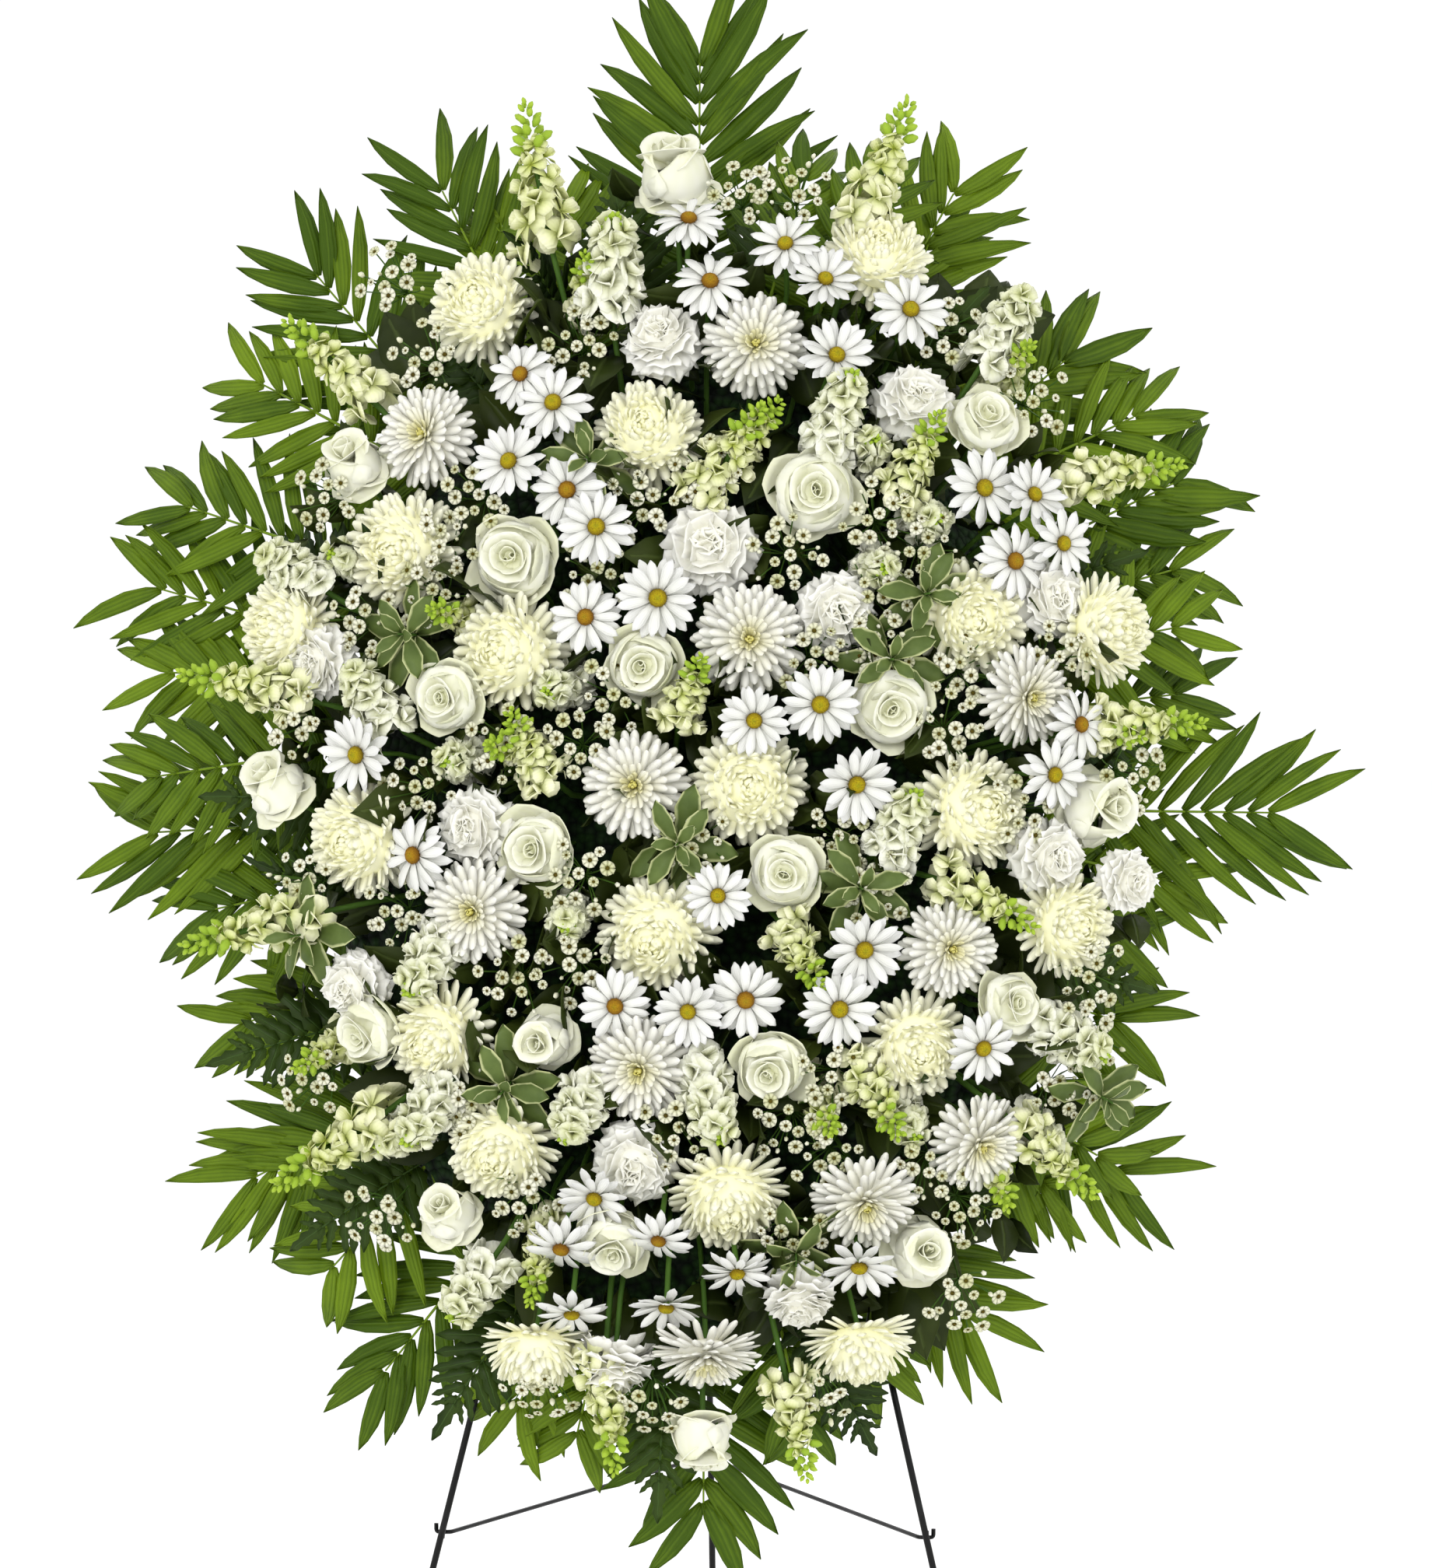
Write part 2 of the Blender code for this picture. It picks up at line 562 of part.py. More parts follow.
# name: outline, (x, height) on the chart in cm, turn right and up in degrees, radius and length in cm,
# sides, lobes, lobe depth
BLOOMS = {
    "football_mum_upper_left": (MUM, (-18.0, 38.0), -18, 22, 4.6, 4.6, 10, 5, 0.04),
    "football_mum_upper_right": (MUM, (14.0, 42.0), 12, 40, 4.4, 4.6, 10, 5, 0.04),
    "football_mum_left": (MUM, (-34.0, 12.0), -45, 6, 4.4, 4.6, 10, 5, 0.04),
    "football_mum_right": (MUM, (32.5, 12.0), 52, 6, 4.6, 4.6, 10, 5, 0.04),
    "football_mum_centre": (MUM, (3.7, -0.7), 3, 0, 4.7, 4.8, 10, 5, 0.04),
    "football_mum_lower_left": (MUM, (-16.6, -30.3), -18, -22, 4.6, 4.6, 10, 5, 0.04),
    "football_mum_lower_right": (MUM, (17.3, -21.8), 18, -14, 4.4, 4.8, 10, 5, 0.04),
    "rose_top": (ROSE, (-2.4, 49.4), -4, 62, 3.1, 5.2, 10, 5, 0.07),
    "rose_upper_left": (ROSE, (-15.5, 17.6), -10, 8, 3.3, 4.8, 10, 5, 0.07),
    "rose_upper_right": (ROSE, (9.0, 23.0), 8, 8, 3.4, 4.8, 10, 5, 0.07),
    "rose_left": (ROSE, (-35.0, 0.0), -62, 2, 3.0, 5.0, 10, 5, 0.07),
    "rose_right": (ROSE, (32.4, -2.3), 50, -4, 3.2, 5.0, 10, 5, 0.07),
    "rose_bottom": (ROSE, (-0.1, -53.6), 0, -72, 3.0, 5.0, 10, 5, 0.07),
    "spider_mum_upper": (SPIDER_MUM, (4.2, 34.8), 4, 14, 4.1, 3.6, 16, 8, 0.12),
    "spider_mum_lower": (SPIDER_MUM, (-5.2, -23.6), -6, -10, 4.0, 3.6, 16, 8, 0.12),
    "carnation_right": (CARNATION, (10.8, 13.4), 10, 5, 3.2, 4.4, 14, 7, 0.08),
    "carnation_lower": (CARNATION, (-5.6, -31.4), -4, -18, 3.2, 4.4, 14, 7, 0.08),
}

# name: foot and tip (x, height) on the chart in cm, radius in cm, tiers of florets
SPIKES = {
    "stock_upper": ((-7.5, 36.5), (-7.2, 45.0), 2.5, 6),
    "snapdragon_upper_left": ((-12.4, 42.5), (-14.2, 53.6), 2.6, 6),
    "snapdragon_right": ((31.0, 4.3), (39.8, 4.6), 2.5, 6),
}

# name: (x, height) on the chart in cm of each open flower on the branched stem
DAISY_SPRAYS = {
    "daisy_spray_upper_left": [(-12.0, 30.0), (-15.5, 25.3), (-10.9, 23.1)],
    "daisy_spray_centre": [(9.4, 6.0), (12.2, -0.4)],
    "daisy_spray_lower": [(3.6, -17.6), (9.8, -18.4), (13.0, -12.8)],
}
DAISY_R, DAISY_LENGTH = 0.026, 0.012


def dome_w(x, height):
    """How far out of the frame the flowers' faces are at this place on the chart."""
    inside = 1 - (x / DOME_HALF_WIDTH) ** 2 - (height / DOME_HALF_HEIGHT) ** 2
    return DOME_EDGE_W + DOME_RISE * math.sqrt(max(inside, 0.0))


def chart_point(x, height, w):
    """The point w out of the frame on the line from the eye through this place on the chart."""
    mark = Vector((CHART_X + x, CHART_Y, CHART_HEIGHT + height))
    eye_w, mark_w = CHART_EYE.dot(OUTWARDS), mark.dot(OUTWARDS)
    return CHART_EYE.lerp(mark, (eye_w - w) / (eye_w - mark_w))


def facing(right, up):
    """The direction that a flower turned this far right and up looks in."""
    turn = Matrix.Rotation(right, 3, "Z") @ Matrix.Rotation(-up, 3, "X")
    return turn @ Vector((0.0, -1.0, 0.0))


def stem_foot(x, height):
    """Where the stem of the flower at this place goes into the bed, and the bed's direction there."""
    foot_x = 0.60 * (CHART_X + x)
    foot_v = CHART_V + 0.66 * (frame_v(CHART_HEIGHT + height, 0.0) - CHART_V)
    rise, slope = bed_rise(foot_x, foot_v)
    out = frame_direction(slope)
    return on_frame(foot_x, foot_v, BED_BACK_W + rise) + 2 * GAP * out, out


def stem_path(foot, out, head, axis):
    """A curve that leaves the bed squarely and comes into the flower along its axis."""
    reach = (head - foot).length * 0.4
    ends = (foot, foot + reach * out, head - reach * axis, head)
    path = []
    for k in range(5):
        t = k / 4
        blend = ((1 - t) ** 3, 3 * t * (1 - t) ** 2, 3 * t**2 * (1 - t), t**3)
        path.append(sum((share * end for share, end in zip(blend, ends)), Vector()))
    return path


def flower_face(x, height, axis, length):
    """The middle of a flower's front, when the flower's own middle is at this place on the chart."""
    return chart_point(x, height, dome_w(x, height) - length / 2) + length / 2 * axis


def flower_mesh(outline, face, axis, radius, length, foot, out, sides, lobes, depth):
    """Stem and flower in one piece. face is the middle of the flower's front."""
    base = face - length * axis
    path = stem_path(foot, out, base, axis)
    radii = [STEM_R] * len(path)
    first_ring = len(path)
    for along, share in outline:
        path.append(base + along * length * axis)
        radii.append(share * radius)
    path[first_ring - 1] = base - 0.0015 * axis  # the stem ends just below the flower's own rings
    return sweep_mesh(path, radii, sides, lobes, depth, first_ring, out)


def add_blooms(petals):
    for name, (outline, place, right, up, radius, length, sides, lobes, depth) in BLOOMS.items():
        x, height = place[0] / 100, place[1] / 100
        axis = facing(math.radians(right), math.radians(up))
        face = flower_face(x, height, axis, length / 100)
        foot, out = stem_foot(x, height)
        mesh = flower_mesh(
            outline, face, axis, radius / 100, length / 100, foot, out, sides, lobes, depth
        )
        make_object(name, mesh, petals[name.split("_")[0]], 60)


def spike_outline(tiers):
    """Whorls of florets that get smaller towards a pointed tip of buds."""
    outline = []
    for i in range(tiers):
        t = i / tiers
        size = 1.0 - 0.72 * t**1.6
        outline.append((t, 0.62 * size))
        outline.append((t + 0.55 / tiers, size))
    return outline + [(0.97, 0.16), (1.0, 0.06)]


def add_spikes(petals):
    for name, (low, tip, radius, tiers) in SPIKES.items():
        low_w = dome_w(low[0] / 100, low[1] / 100) - 0.035
        tip_w = dome_w(tip[0] / 100, tip[1] / 100) - 0.015
        low_point = chart_point(low[0] / 100, low[1] / 100, low_w)
        tip_point = chart_point(tip[0] / 100, tip[1] / 100, tip_w)
        axis = (tip_point - low_point).normalized()
        length = (tip_point - low_point).length
        foot, out = stem_foot(low[0] / 100, low[1] / 100)
        mesh = flower_mesh(
            spike_outline(tiers), tip_point, axis, radius / 100, length, foot, out, 10, 5, 0.12
        )
        make_object(name, mesh, petals[name.split("_")[0]], 60)


def add_daisy_sprays(petals):
    """One stem that forks, with an open daisy on each fork."""
    for name, places in DAISY_SPRAYS.items():
        middle_x = sum(p[0] for p in places) / len(places) / 100
        middle_height = sum(p[1] for p in places) / len(places) / 100
        foot, out = stem_foot(middle_x, middle_height)
        fork = foot + 0.018 * out
        spray = None
        for k, (x, height) in enumerate(places):
            x, height = x / 100, height / 100
            axis = facing(x * 1.2, height * 0.5)
            face = flower_face(x, height, axis, DAISY_LENGTH)
            mesh = flower_mesh(
                DAISY, face, axis, DAISY_R, DAISY_LENGTH, fork - 0.003 * out, out, 14, 7, 0.12
            )
            if spray is None:
                spray = make_object(name, mesh, petals["daisy"], 60)
            else:
                combine(spray, "UNION", cutter(f"{name}_{k}", mesh))
        stem = sweep_mesh([foot, fork], [STEM_R * 1.3, STEM_R * 1.3], 10, first_normal=out)
        combine(spray, "UNION", cutter(f"{name}_stem", stem))


# --- whole object ----------------------------------------------------------------------------------
def move_to_footprint_middle():
    """Puts the origin in the middle of the object's box on the floor. Says how far things moved."""
    bpy.context.view_layer.update()
    graph = bpy.context.evaluated_depsgraph_get()
    corners = []
    for obj in bpy.data.objects:
        if not obj.hide_render:
            shown = obj.evaluated_get(graph)
            corners += [shown.matrix_world @ v.co for v in shown.data.vertices]
    low = Vector([min(c[i] for c in corners) for i in range(3)])
    high = Vector([max(c[i] for c in corners) for i in range(3)])
    shift = Vector((-(low.x + high.x) / 2, -(low.y + high.y) / 2, 0.0))
    for obj in bpy.data.objects:
        obj.location += shift
    return shift, high - low


def set_origin(name, point):
    """Moves an object's origin to a point and leaves its shape where it is."""
    obj = bpy.data.objects[name]
    obj.data.transform(Matrix.Translation(-point))
    obj.location = point


def main():
    for obj in list(bpy.data.objects):
        bpy.data.objects.remove(obj)
    wire = material("easel_wire", (0.010, 0.022, 0.012), 0.42)
    zinc = material("zinc", (0.55, 0.56, 0.58), 0.35, 1.0)
    plastic = material("holder_plastic", (0.02, 0.09, 0.04), 0.5)
    nylon = material("tie_nylon", (0.02, 0.02, 0.02), 0.45)
    foam = material("floral_foam", (0.06, 0.17, 0.08), 0.95)
    greens = material("greens", (0.02, 0.06, 0.015), 0.6)
    palm = material("palm_leaf", (0.06, 0.16, 0.02), 0.45)
    petals = {
        "football": material("mum_petal", (0.88, 0.88, 0.66), 0.6),
        "rose": material("rose_petal", (0.90, 0.90, 0.78), 0.5),
        "spider": material("spider_petal", (0.93, 0.93, 0.90), 0.55),
        "carnation": material("carnation_petal", (0.93, 0.94, 0.90), 0.6),
        "daisy": material("daisy_petal", (0.95, 0.95, 0.95), 0.55),
        "stock": material("stock_petal", (0.93, 0.94, 0.86), 0.6),
        "snapdragon": material("snapdragon_petal", (0.85, 0.90, 0.55), 0.6),
    }
    add_front_legs(wire)
    add_rear_leg(wire)
    add_pivot(zinc)
    add_cross_bars(wire)
    add_brace_eyes(wire)
    add_braces(wire)
    add_tray(plastic)
    add_foam(foam)
    add_straps(plastic)
    add_ties(nylon)
    add_bed(greens)
    add_fronds(palm)
    add_blooms(petals)
    add_spikes(petals)
    add_daisy_sprays(petals)
    set_origin("rear_leg", APEX)
    set_origin("left_brace", eye_centre(-1))
    set_origin("right_brace", eye_centre(1))
    shift, size = move_to_footprint_middle()
    print("moved by", [round(c, 5) for c in shift], "size", [round(c, 4) for c in size])
    print("pivot axis at", [round(c, 5) for c in APEX + shift])
    for side in (-1, 1):
        print("brace eye at", [round(c, 5) for c in eye_centre(side) + shift])
    print("rear foot at", [round(c, 5) for c in Vector((0.0, rear_leg_y(0.0), 0.0)) + shift])
    print("front feet at", round(leg_x(0.0), 5), [round(c, 5) for c in shift])


main()
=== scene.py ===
# %% [markdown]
# # A standing funeral spray on a wire easel
# Florists build this piece from the back to the front: an easel, a foam holder tied to it, greens and palm
# fronds that set the outline, then the flowers. The lesson follows that order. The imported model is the
# bench: nothing on it moves, and every leaf and petal made here is planted on it.

import contextlib
import json
import math
import random

import bmesh
import bpy
from mathutils import Matrix, Vector

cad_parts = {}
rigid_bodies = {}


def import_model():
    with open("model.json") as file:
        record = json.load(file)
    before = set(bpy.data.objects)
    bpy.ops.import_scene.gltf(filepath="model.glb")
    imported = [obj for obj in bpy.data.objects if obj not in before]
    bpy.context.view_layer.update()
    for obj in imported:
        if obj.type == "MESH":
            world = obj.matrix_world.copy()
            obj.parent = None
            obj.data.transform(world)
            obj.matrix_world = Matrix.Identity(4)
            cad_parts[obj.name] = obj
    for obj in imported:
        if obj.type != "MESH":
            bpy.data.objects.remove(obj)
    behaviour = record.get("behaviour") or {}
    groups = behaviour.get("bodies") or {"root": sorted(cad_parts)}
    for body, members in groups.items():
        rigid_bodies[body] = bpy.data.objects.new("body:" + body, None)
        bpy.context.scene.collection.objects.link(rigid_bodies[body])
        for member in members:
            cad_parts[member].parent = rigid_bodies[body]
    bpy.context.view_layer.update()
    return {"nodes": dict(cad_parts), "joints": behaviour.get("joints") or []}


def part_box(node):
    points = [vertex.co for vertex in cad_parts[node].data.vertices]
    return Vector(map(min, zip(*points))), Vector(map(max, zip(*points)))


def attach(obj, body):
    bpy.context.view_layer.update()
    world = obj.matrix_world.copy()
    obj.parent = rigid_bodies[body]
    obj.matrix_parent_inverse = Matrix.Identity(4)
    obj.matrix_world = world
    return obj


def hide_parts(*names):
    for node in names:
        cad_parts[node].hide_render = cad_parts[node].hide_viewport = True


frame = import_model()

# %% [markdown]
# The front of the easel leans back. Places are easiest to give on a flower chart: so far to the right of the
# middle of the flowers, so far above it, and so far out from the leaning wires. The flowers' middle lies a
# little to the right of the easel's, so the foam and the palm fronds have a chart of their own. A flower is
# set on the line from the eye through its place on the chart, so it is seen there however far out it stands.

# %% Read the easel's lean and set out the flower chart
APEX = Vector(frame["joints"][0]["pos_m"])
LEG_RADIUS = 0.00275
CHART_X, CHART_HEIGHT = 0.0135, 0.965
GREENS_MIDDLE = -0.045
FOOT_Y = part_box("left_front_leg")[0].y + LEG_RADIUS
LEAN = math.atan2(APEX.y - FOOT_Y, APEX.z)
UP_FRAME = Vector((0.0, math.sin(LEAN), math.cos(LEAN)))
OUT_FRAME = Vector((0.0, -math.cos(LEAN), math.sin(LEAN)))
DOME_HALF_WIDTH, DOME_HALF_HEIGHT, DOME_EDGE, DOME_RISE = 0.45, 0.60, 0.062, 0.17
CHART_DEPTH = 0.118
EYE = Vector((APEX.x + 0.334, FOOT_Y - 4.958, 1.316))


def on_easel(x, height, out):
    """The point this far right of the easel's middle, up the chart and out from the easel, in metres."""
    up = (CHART_HEIGHT + height - out * math.sin(LEAN)) / math.cos(LEAN)
    return Vector((APEX.x + x, FOOT_Y, 0.0)) + up * UP_FRAME + out * OUT_FRAME


def on_chart(x, height, out):
    """The point this far out from the easel on the line from the eye through a place on the chart."""
    mark = Vector((APEX.x + CHART_X + x, FOOT_Y + CHART_DEPTH, CHART_HEIGHT + height))
    foot = Vector((0.0, FOOT_Y, 0.0))
    eye_out, mark_out = (EYE - foot).dot(OUT_FRAME), (mark - foot).dot(OUT_FRAME)
    return EYE.lerp(mark, (eye_out - out) / (eye_out - mark_out))


def dome(x, height):
    """How far out the faces of the flowers stand at this place on the chart."""
    inside = 1 - (x / DOME_HALF_WIDTH) ** 2 - (height / DOME_HALF_HEIGHT) ** 2
    return DOME_EDGE + DOME_RISE * math.sqrt(max(inside, 0.0))


print("the easel leans back", round(math.degrees(LEAN), 1), "degrees")

# %% [markdown]
# ## Finishes
# Petals and leaves are thin, moist and a little translucent, so nothing here is one flat colour. Two small
# node groups do the shared work. The first gives a petal its tone: whiter at the rim, warmer, greener and
# darker towards the heart of the flower, partly the petal's own tint and partly painted shade among the
# petals, with fine veins and a faint mottle. The second gives a leaf its ribs.
# Both only put out colours and heights, so every finish keeps its own shader.


# %% Tools for building nodes
def add_node(tree, kind, inputs=(), **settings):
    """Adds a node, sets its plain settings and fills its inputs with values or links."""
    node = tree.nodes.new(kind)
    for key, value in settings.items():
        setattr(node, key, value)
    for key, value in dict(inputs).items():
        if isinstance(value, bpy.types.NodeSocket):
            tree.links.new(value, node.inputs[key])
        else:
            node.inputs[key].default_value = value
    return node


def calculate(tree, operation, first, second=0.0, third=0.0):
    """A Math node's answer."""
    node = add_node(tree, "ShaderNodeMath", {0: first, 1: second, 2: third}, operation=operation)
    return node.outputs[0]


def blend_colours(tree, share, first, second):
    """Mixes two colours by a share from 0 to 1."""
    return add_node(tree, "ShaderNodeMix", {0: share, 6: first, 7: second}, data_type="RGBA").outputs[2]


def clouds(tree, place, scale, detail):
    """A soft cloud pattern, from 0 to 1."""
    values = {"Vector": place, "Scale": scale, "Detail": detail}
    return add_node(tree, "ShaderNodeTexNoise", values).outputs["Fac"]


def stretch(tree, value, low, high, to_low=0.0, to_high=1.0):
    """Stretches one range of a value over another, and holds it at the ends."""
    return add_node(tree, "ShaderNodeMapRange", {0: value, 1: low, 2: high, 3: to_low, 4: to_high}).outputs[0]


def new_group(name, inputs, outputs):
    """An empty node group with named sockets. Each is (name, kind)."""
    group = bpy.data.node_groups.new(name, "ShaderNodeTree")
    for side, sockets in (("INPUT", inputs), ("OUTPUT", outputs)):
        for label, kind in sockets:
            group.interface.new_socket(name=label, in_out=side, socket_type="NodeSocket" + kind)
    return group, group.nodes.new("NodeGroupInput").outputs, group.nodes.new("NodeGroupOutput").inputs


# %% The petal's tone
petal_tone, given, wanted = new_group(
    "petal tone",
    [("Place", "Vector"), ("Along", "Float"), ("Across", "Float"), ("Heart", "Float"), ("Petal", "Color"),
     ("Deep", "Color"), ("Reach", "Float"), ("Mottle", "Float")],
    [("Colour", "Color"), ("Height", "Float")],
)
tree = petal_tone
# Painted shade: towards the petal's foot and the flower's heart the rim colour gives way to the second
# colour, which is partly the petal's own green-yellow tint and partly painted shade down among the petals.
foot = calculate(tree, "SUBTRACT", 1.0, given["Along"])
foot = calculate(tree, "POWER", foot, 1.6)
deep_tint_and_shade = calculate(tree, "ADD", calculate(tree, "MULTIPLY", foot, given["Reach"]), given["Heart"])
cloud = clouds(tree, given["Place"], 90.0, 3.0)
mottle = calculate(tree, "MULTIPLY", given["Mottle"], calculate(tree, "SUBTRACT", cloud, 0.5))
deep_tint_and_shade = calculate(tree, "ADD", deep_tint_and_shade, mottle)
deep_tint_and_shade = add_node(tree, "ShaderNodeClamp", {"Value": deep_tint_and_shade}).outputs[0]
vein = calculate(tree, "SINE", calculate(tree, "MULTIPLY", given["Across"], 17.0))
vein = calculate(tree, "MULTIPLY_ADD", vein, 0.5, 0.5)
tone = blend_colours(tree, deep_tint_and_shade, given["Petal"], given["Deep"])
veined = blend_colours(tree, calculate(tree, "MULTIPLY", vein, 0.07), tone, given["Deep"])
tree.links.new(veined, wanted["Colour"])
rough = calculate(tree, "MULTIPLY", cloud, 0.5)
tree.links.new(calculate(tree, "ADD", calculate(tree, "MULTIPLY", vein, 0.6), rough), wanted["Height"])
print("the petal group has", len(tree.nodes), "nodes")

# %% The leaf's tone
leaf_tone, given, wanted = new_group(
    "leaf tone",
    [("Place", "Vector"), ("Across", "Float"), ("Tone", "Float"), ("Light", "Color"), ("Dark", "Color"),
     ("Rib", "Color"), ("Ribs", "Float"), ("Rib share", "Float")],
    [("Colour", "Color"), ("Height", "Float")],
)
tree = leaf_tone
rib = calculate(tree, "SINE", calculate(tree, "MULTIPLY", given["Across"], given["Ribs"]))
rib = calculate(tree, "MULTIPLY_ADD", rib, 0.5, 0.5)
cloud = clouds(tree, given["Place"], 28.0, 4.0)
shade = calculate(tree, "ADD", calculate(tree, "MULTIPLY", cloud, 0.7), given["Tone"])
shade = calculate(tree, "SUBTRACT", shade, calculate(tree, "MULTIPLY", rib, 0.18))
shade = add_node(tree, "ShaderNodeClamp", {"Value": shade}).outputs[0]
green = blend_colours(tree, shade, given["Dark"], given["Light"])
middle = stretch(tree, calculate(tree, "ABSOLUTE", given["Across"]), 0.14, 0.02)
green = blend_colours(tree, calculate(tree, "MULTIPLY", middle, given["Rib share"]), green, given["Rib"])
tree.links.new(green, wanted["Colour"])
tree.links.new(calculate(tree, "SUBTRACT", rib, calculate(tree, "MULTIPLY", middle, 1.5)), wanted["Height"])
print("the leaf group has", len(tree.nodes), "nodes")

# %% [markdown]
# A shader takes its colour and its bump from a group. The sheets carry three numbers on each point that the
# groups read: how far along and across its petal it is, and how near the petal is to the flower's heart. The
# nearer the heart and the foot, the more of the petal's tint and painted shade it takes.


# %% Put a finish together
def new_finish(name, roughness, **shader_values):
    """A material with its shader's plain values set, its tree, its shader and the place on the object."""
    finish = bpy.data.materials.new(name)
    finish.use_nodes = True
    tree = finish.node_tree
    shader = tree.nodes["Principled BSDF"]
    shader.inputs["Roughness"].default_value = roughness
    for key, value in shader_values.items():
        shader.inputs[key.replace("_", " ")].default_value = value
    return finish, tree, shader, tree.nodes.new("ShaderNodeTexCoord").outputs["Object"]


def point_number(tree, name):
    """A number that the mesh keeps on each point under this name."""
    return add_node(tree, "ShaderNodeAttribute", attribute_name=name).outputs["Fac"]


def colour_and_bump(tree, shader, colour, height, strength, distance):
    """Gives a shader its colour and a bump from a height."""
    tree.links.new(colour, shader.inputs["Base Color"])
    bump = add_node(tree, "ShaderNodeBump", {"Strength": strength, "Distance": distance, "Height": height})
    tree.links.new(bump.outputs[0], shader.inputs["Normal"])


def finish_from_group(name, group, values, roughness, specular, strength, distance):
    """A finish with one of the groups above. Text among the values names a number kept on each point."""
    finish, tree, shader, place = new_finish(name, roughness, Specular_IOR_Level=specular)
    filled = {"Place": place}
    for key, value in values.items():
        filled[key] = point_number(tree, value) if isinstance(value, str) else value
    tone = add_node(tree, "ShaderNodeGroup", filled, node_tree=group)
    colour_and_bump(tree, shader, tone.outputs["Colour"], tone.outputs["Height"], strength, distance)
    return finish


def petal_finish(name, petal, deep_tint_and_shade, reach, mottle=0.25, roughness=0.55):
    """A white petal's finish, from its rim colour and the colour low in the flower: its own tint, darkened as
    painted shade.
    """
    values = {"Along": "along", "Across": "across", "Heart": "heart", "Petal": (*petal, 1.0),
              "Deep": (*deep_tint_and_shade, 1.0), "Reach": reach, "Mottle": mottle}
    return finish_from_group(name, petal_tone, values, roughness, 0.2, 0.35, 0.0006)


def leaf_finish(name, light, dark, rib, ribs=6.0, rib_share=0.5, roughness=0.42):
    """A green leaf's finish, from its light and dark greens and the colour of its middle rib."""
    values = {"Across": "across", "Tone": "heart", "Light": (*light, 1.0), "Dark": (*dark, 1.0),
              "Rib": (*rib, 1.0), "Ribs": ribs, "Rib share": rib_share}
    return finish_from_group(name, leaf_tone, values, roughness, 0.14, 0.4, 0.0008)


# %% Mix the flowers' and leaves' finishes
# Each petal's second colour is its green-yellow tint towards the heart, darkened as painted shade among the
# petals.
MUM_WHITE = petal_finish("football mum petal", (0.96, 0.955, 0.78), (0.92, 0.89, 0.36), 0.34)
SPIDER_WHITE = petal_finish("spider mum petal", (0.865, 0.86, 0.81), (0.78, 0.72, 0.16), 0.18)
DAISY_WHITE = petal_finish("daisy petal", (0.845, 0.845, 0.83), (0.64, 0.66, 0.46), 0.26, 0.1)
ROSE_WHITE = petal_finish("rose petal", (0.90, 0.895, 0.82), (0.72, 0.75, 0.28), 0.31, 0.12, 0.48)
CARNATION_WHITE = petal_finish("carnation petal", (0.93, 0.925, 0.88), (0.93, 0.91, 0.70), 0.35)
STOCK_WHITE = petal_finish("stock petal", (0.95, 0.945, 0.88), (0.62, 0.66, 0.24), 0.36)
SNAP_WHITE = petal_finish("snapdragon petal", (0.94, 0.93, 0.68), (0.50, 0.58, 0.07), 0.58)
ASTER_WHITE = petal_finish("aster petal", (0.88, 0.87, 0.74), (0.44, 0.46, 0.12), 0.32)
PALM_GREEN = leaf_finish("palm leaf", (0.215, 0.335, 0.010), (0.050, 0.100, 0.003), (0.22, 0.35, 0.03),
                         14.0, 0.15)
# The salal and fern greens are the leaves' own dark olive, darkened further as painted shade for the gaps
# between the flowers.
SALAL_GREEN = leaf_finish("salal leaf", (0.062, 0.086, 0.012), (0.013, 0.021, 0.004), (0.10, 0.14, 0.035),
                          0.0, 0.4)
FERN_GREEN = leaf_finish("fern leaf", (0.056, 0.098, 0.011), (0.012, 0.027, 0.004), (0.06, 0.12, 0.025), 3.0)
STEM_GREEN = leaf_finish("stem", (0.13, 0.25, 0.04), (0.04, 0.10, 0.012), (0.13, 0.25, 0.05), 2.0, 0.0, 0.5)
BUD_GREEN = leaf_finish("bud", (0.42, 0.58, 0.04), (0.17, 0.34, 0.015), (0.50, 0.60, 0.10), 3.0, 0.2, 0.5)
print("mixed", len(bpy.data.materials), "finishes so far")

# %% [markdown]
# ## Petals
# Almost every petal here starts as one of two things. A broad petal is a flat grid, narrowed row by row,
# curled and given a thickness. A narrow quill, as on a chrysanthemum, is a four-cornered face drawn out
# section by section. Both stand upright on the origin with their inner side towards -Y, so a flower is made
# by setting copies round its axis.


# %% Tools for shaping a petal
def add_shape(name, primitive, **settings):
    """Adds a primitive with nothing else selected, and names it."""
    bpy.ops.object.select_all(action="DESELECT")
    primitive(**settings)
    shape = bpy.context.active_object
    shape.name = name
    return shape


@contextlib.contextmanager
def editing():
    """Edit mode on the active shape, for the lines under it."""
    bpy.ops.object.mode_set(mode="EDIT")
    yield
    bpy.ops.object.mode_set(mode="OBJECT")


def select_points(shape, chosen):
    """In edit mode, selects the points that the test picks, by number and place."""
    mesh = bmesh.from_edit_mesh(shape.data)
    for point in mesh.verts:
        point.select_set(bool(chosen(point.index, point.co)))
    mesh.select_flush_mode()
    bmesh.update_edit_mesh(shape.data)


def mark_points(shape, **values):
    """Gives each point a number under a name, from a rule on its place or one value for all."""
    for name, value in values.items():
        if name in shape.data.attributes:
            layer = shape.data.attributes[name]
        else:
            layer = shape.data.attributes.new(name, "FLOAT", "POINT")
        for point, number in zip(shape.data.vertices, layer.data):
            number.value = value(point.co) if callable(value) else value


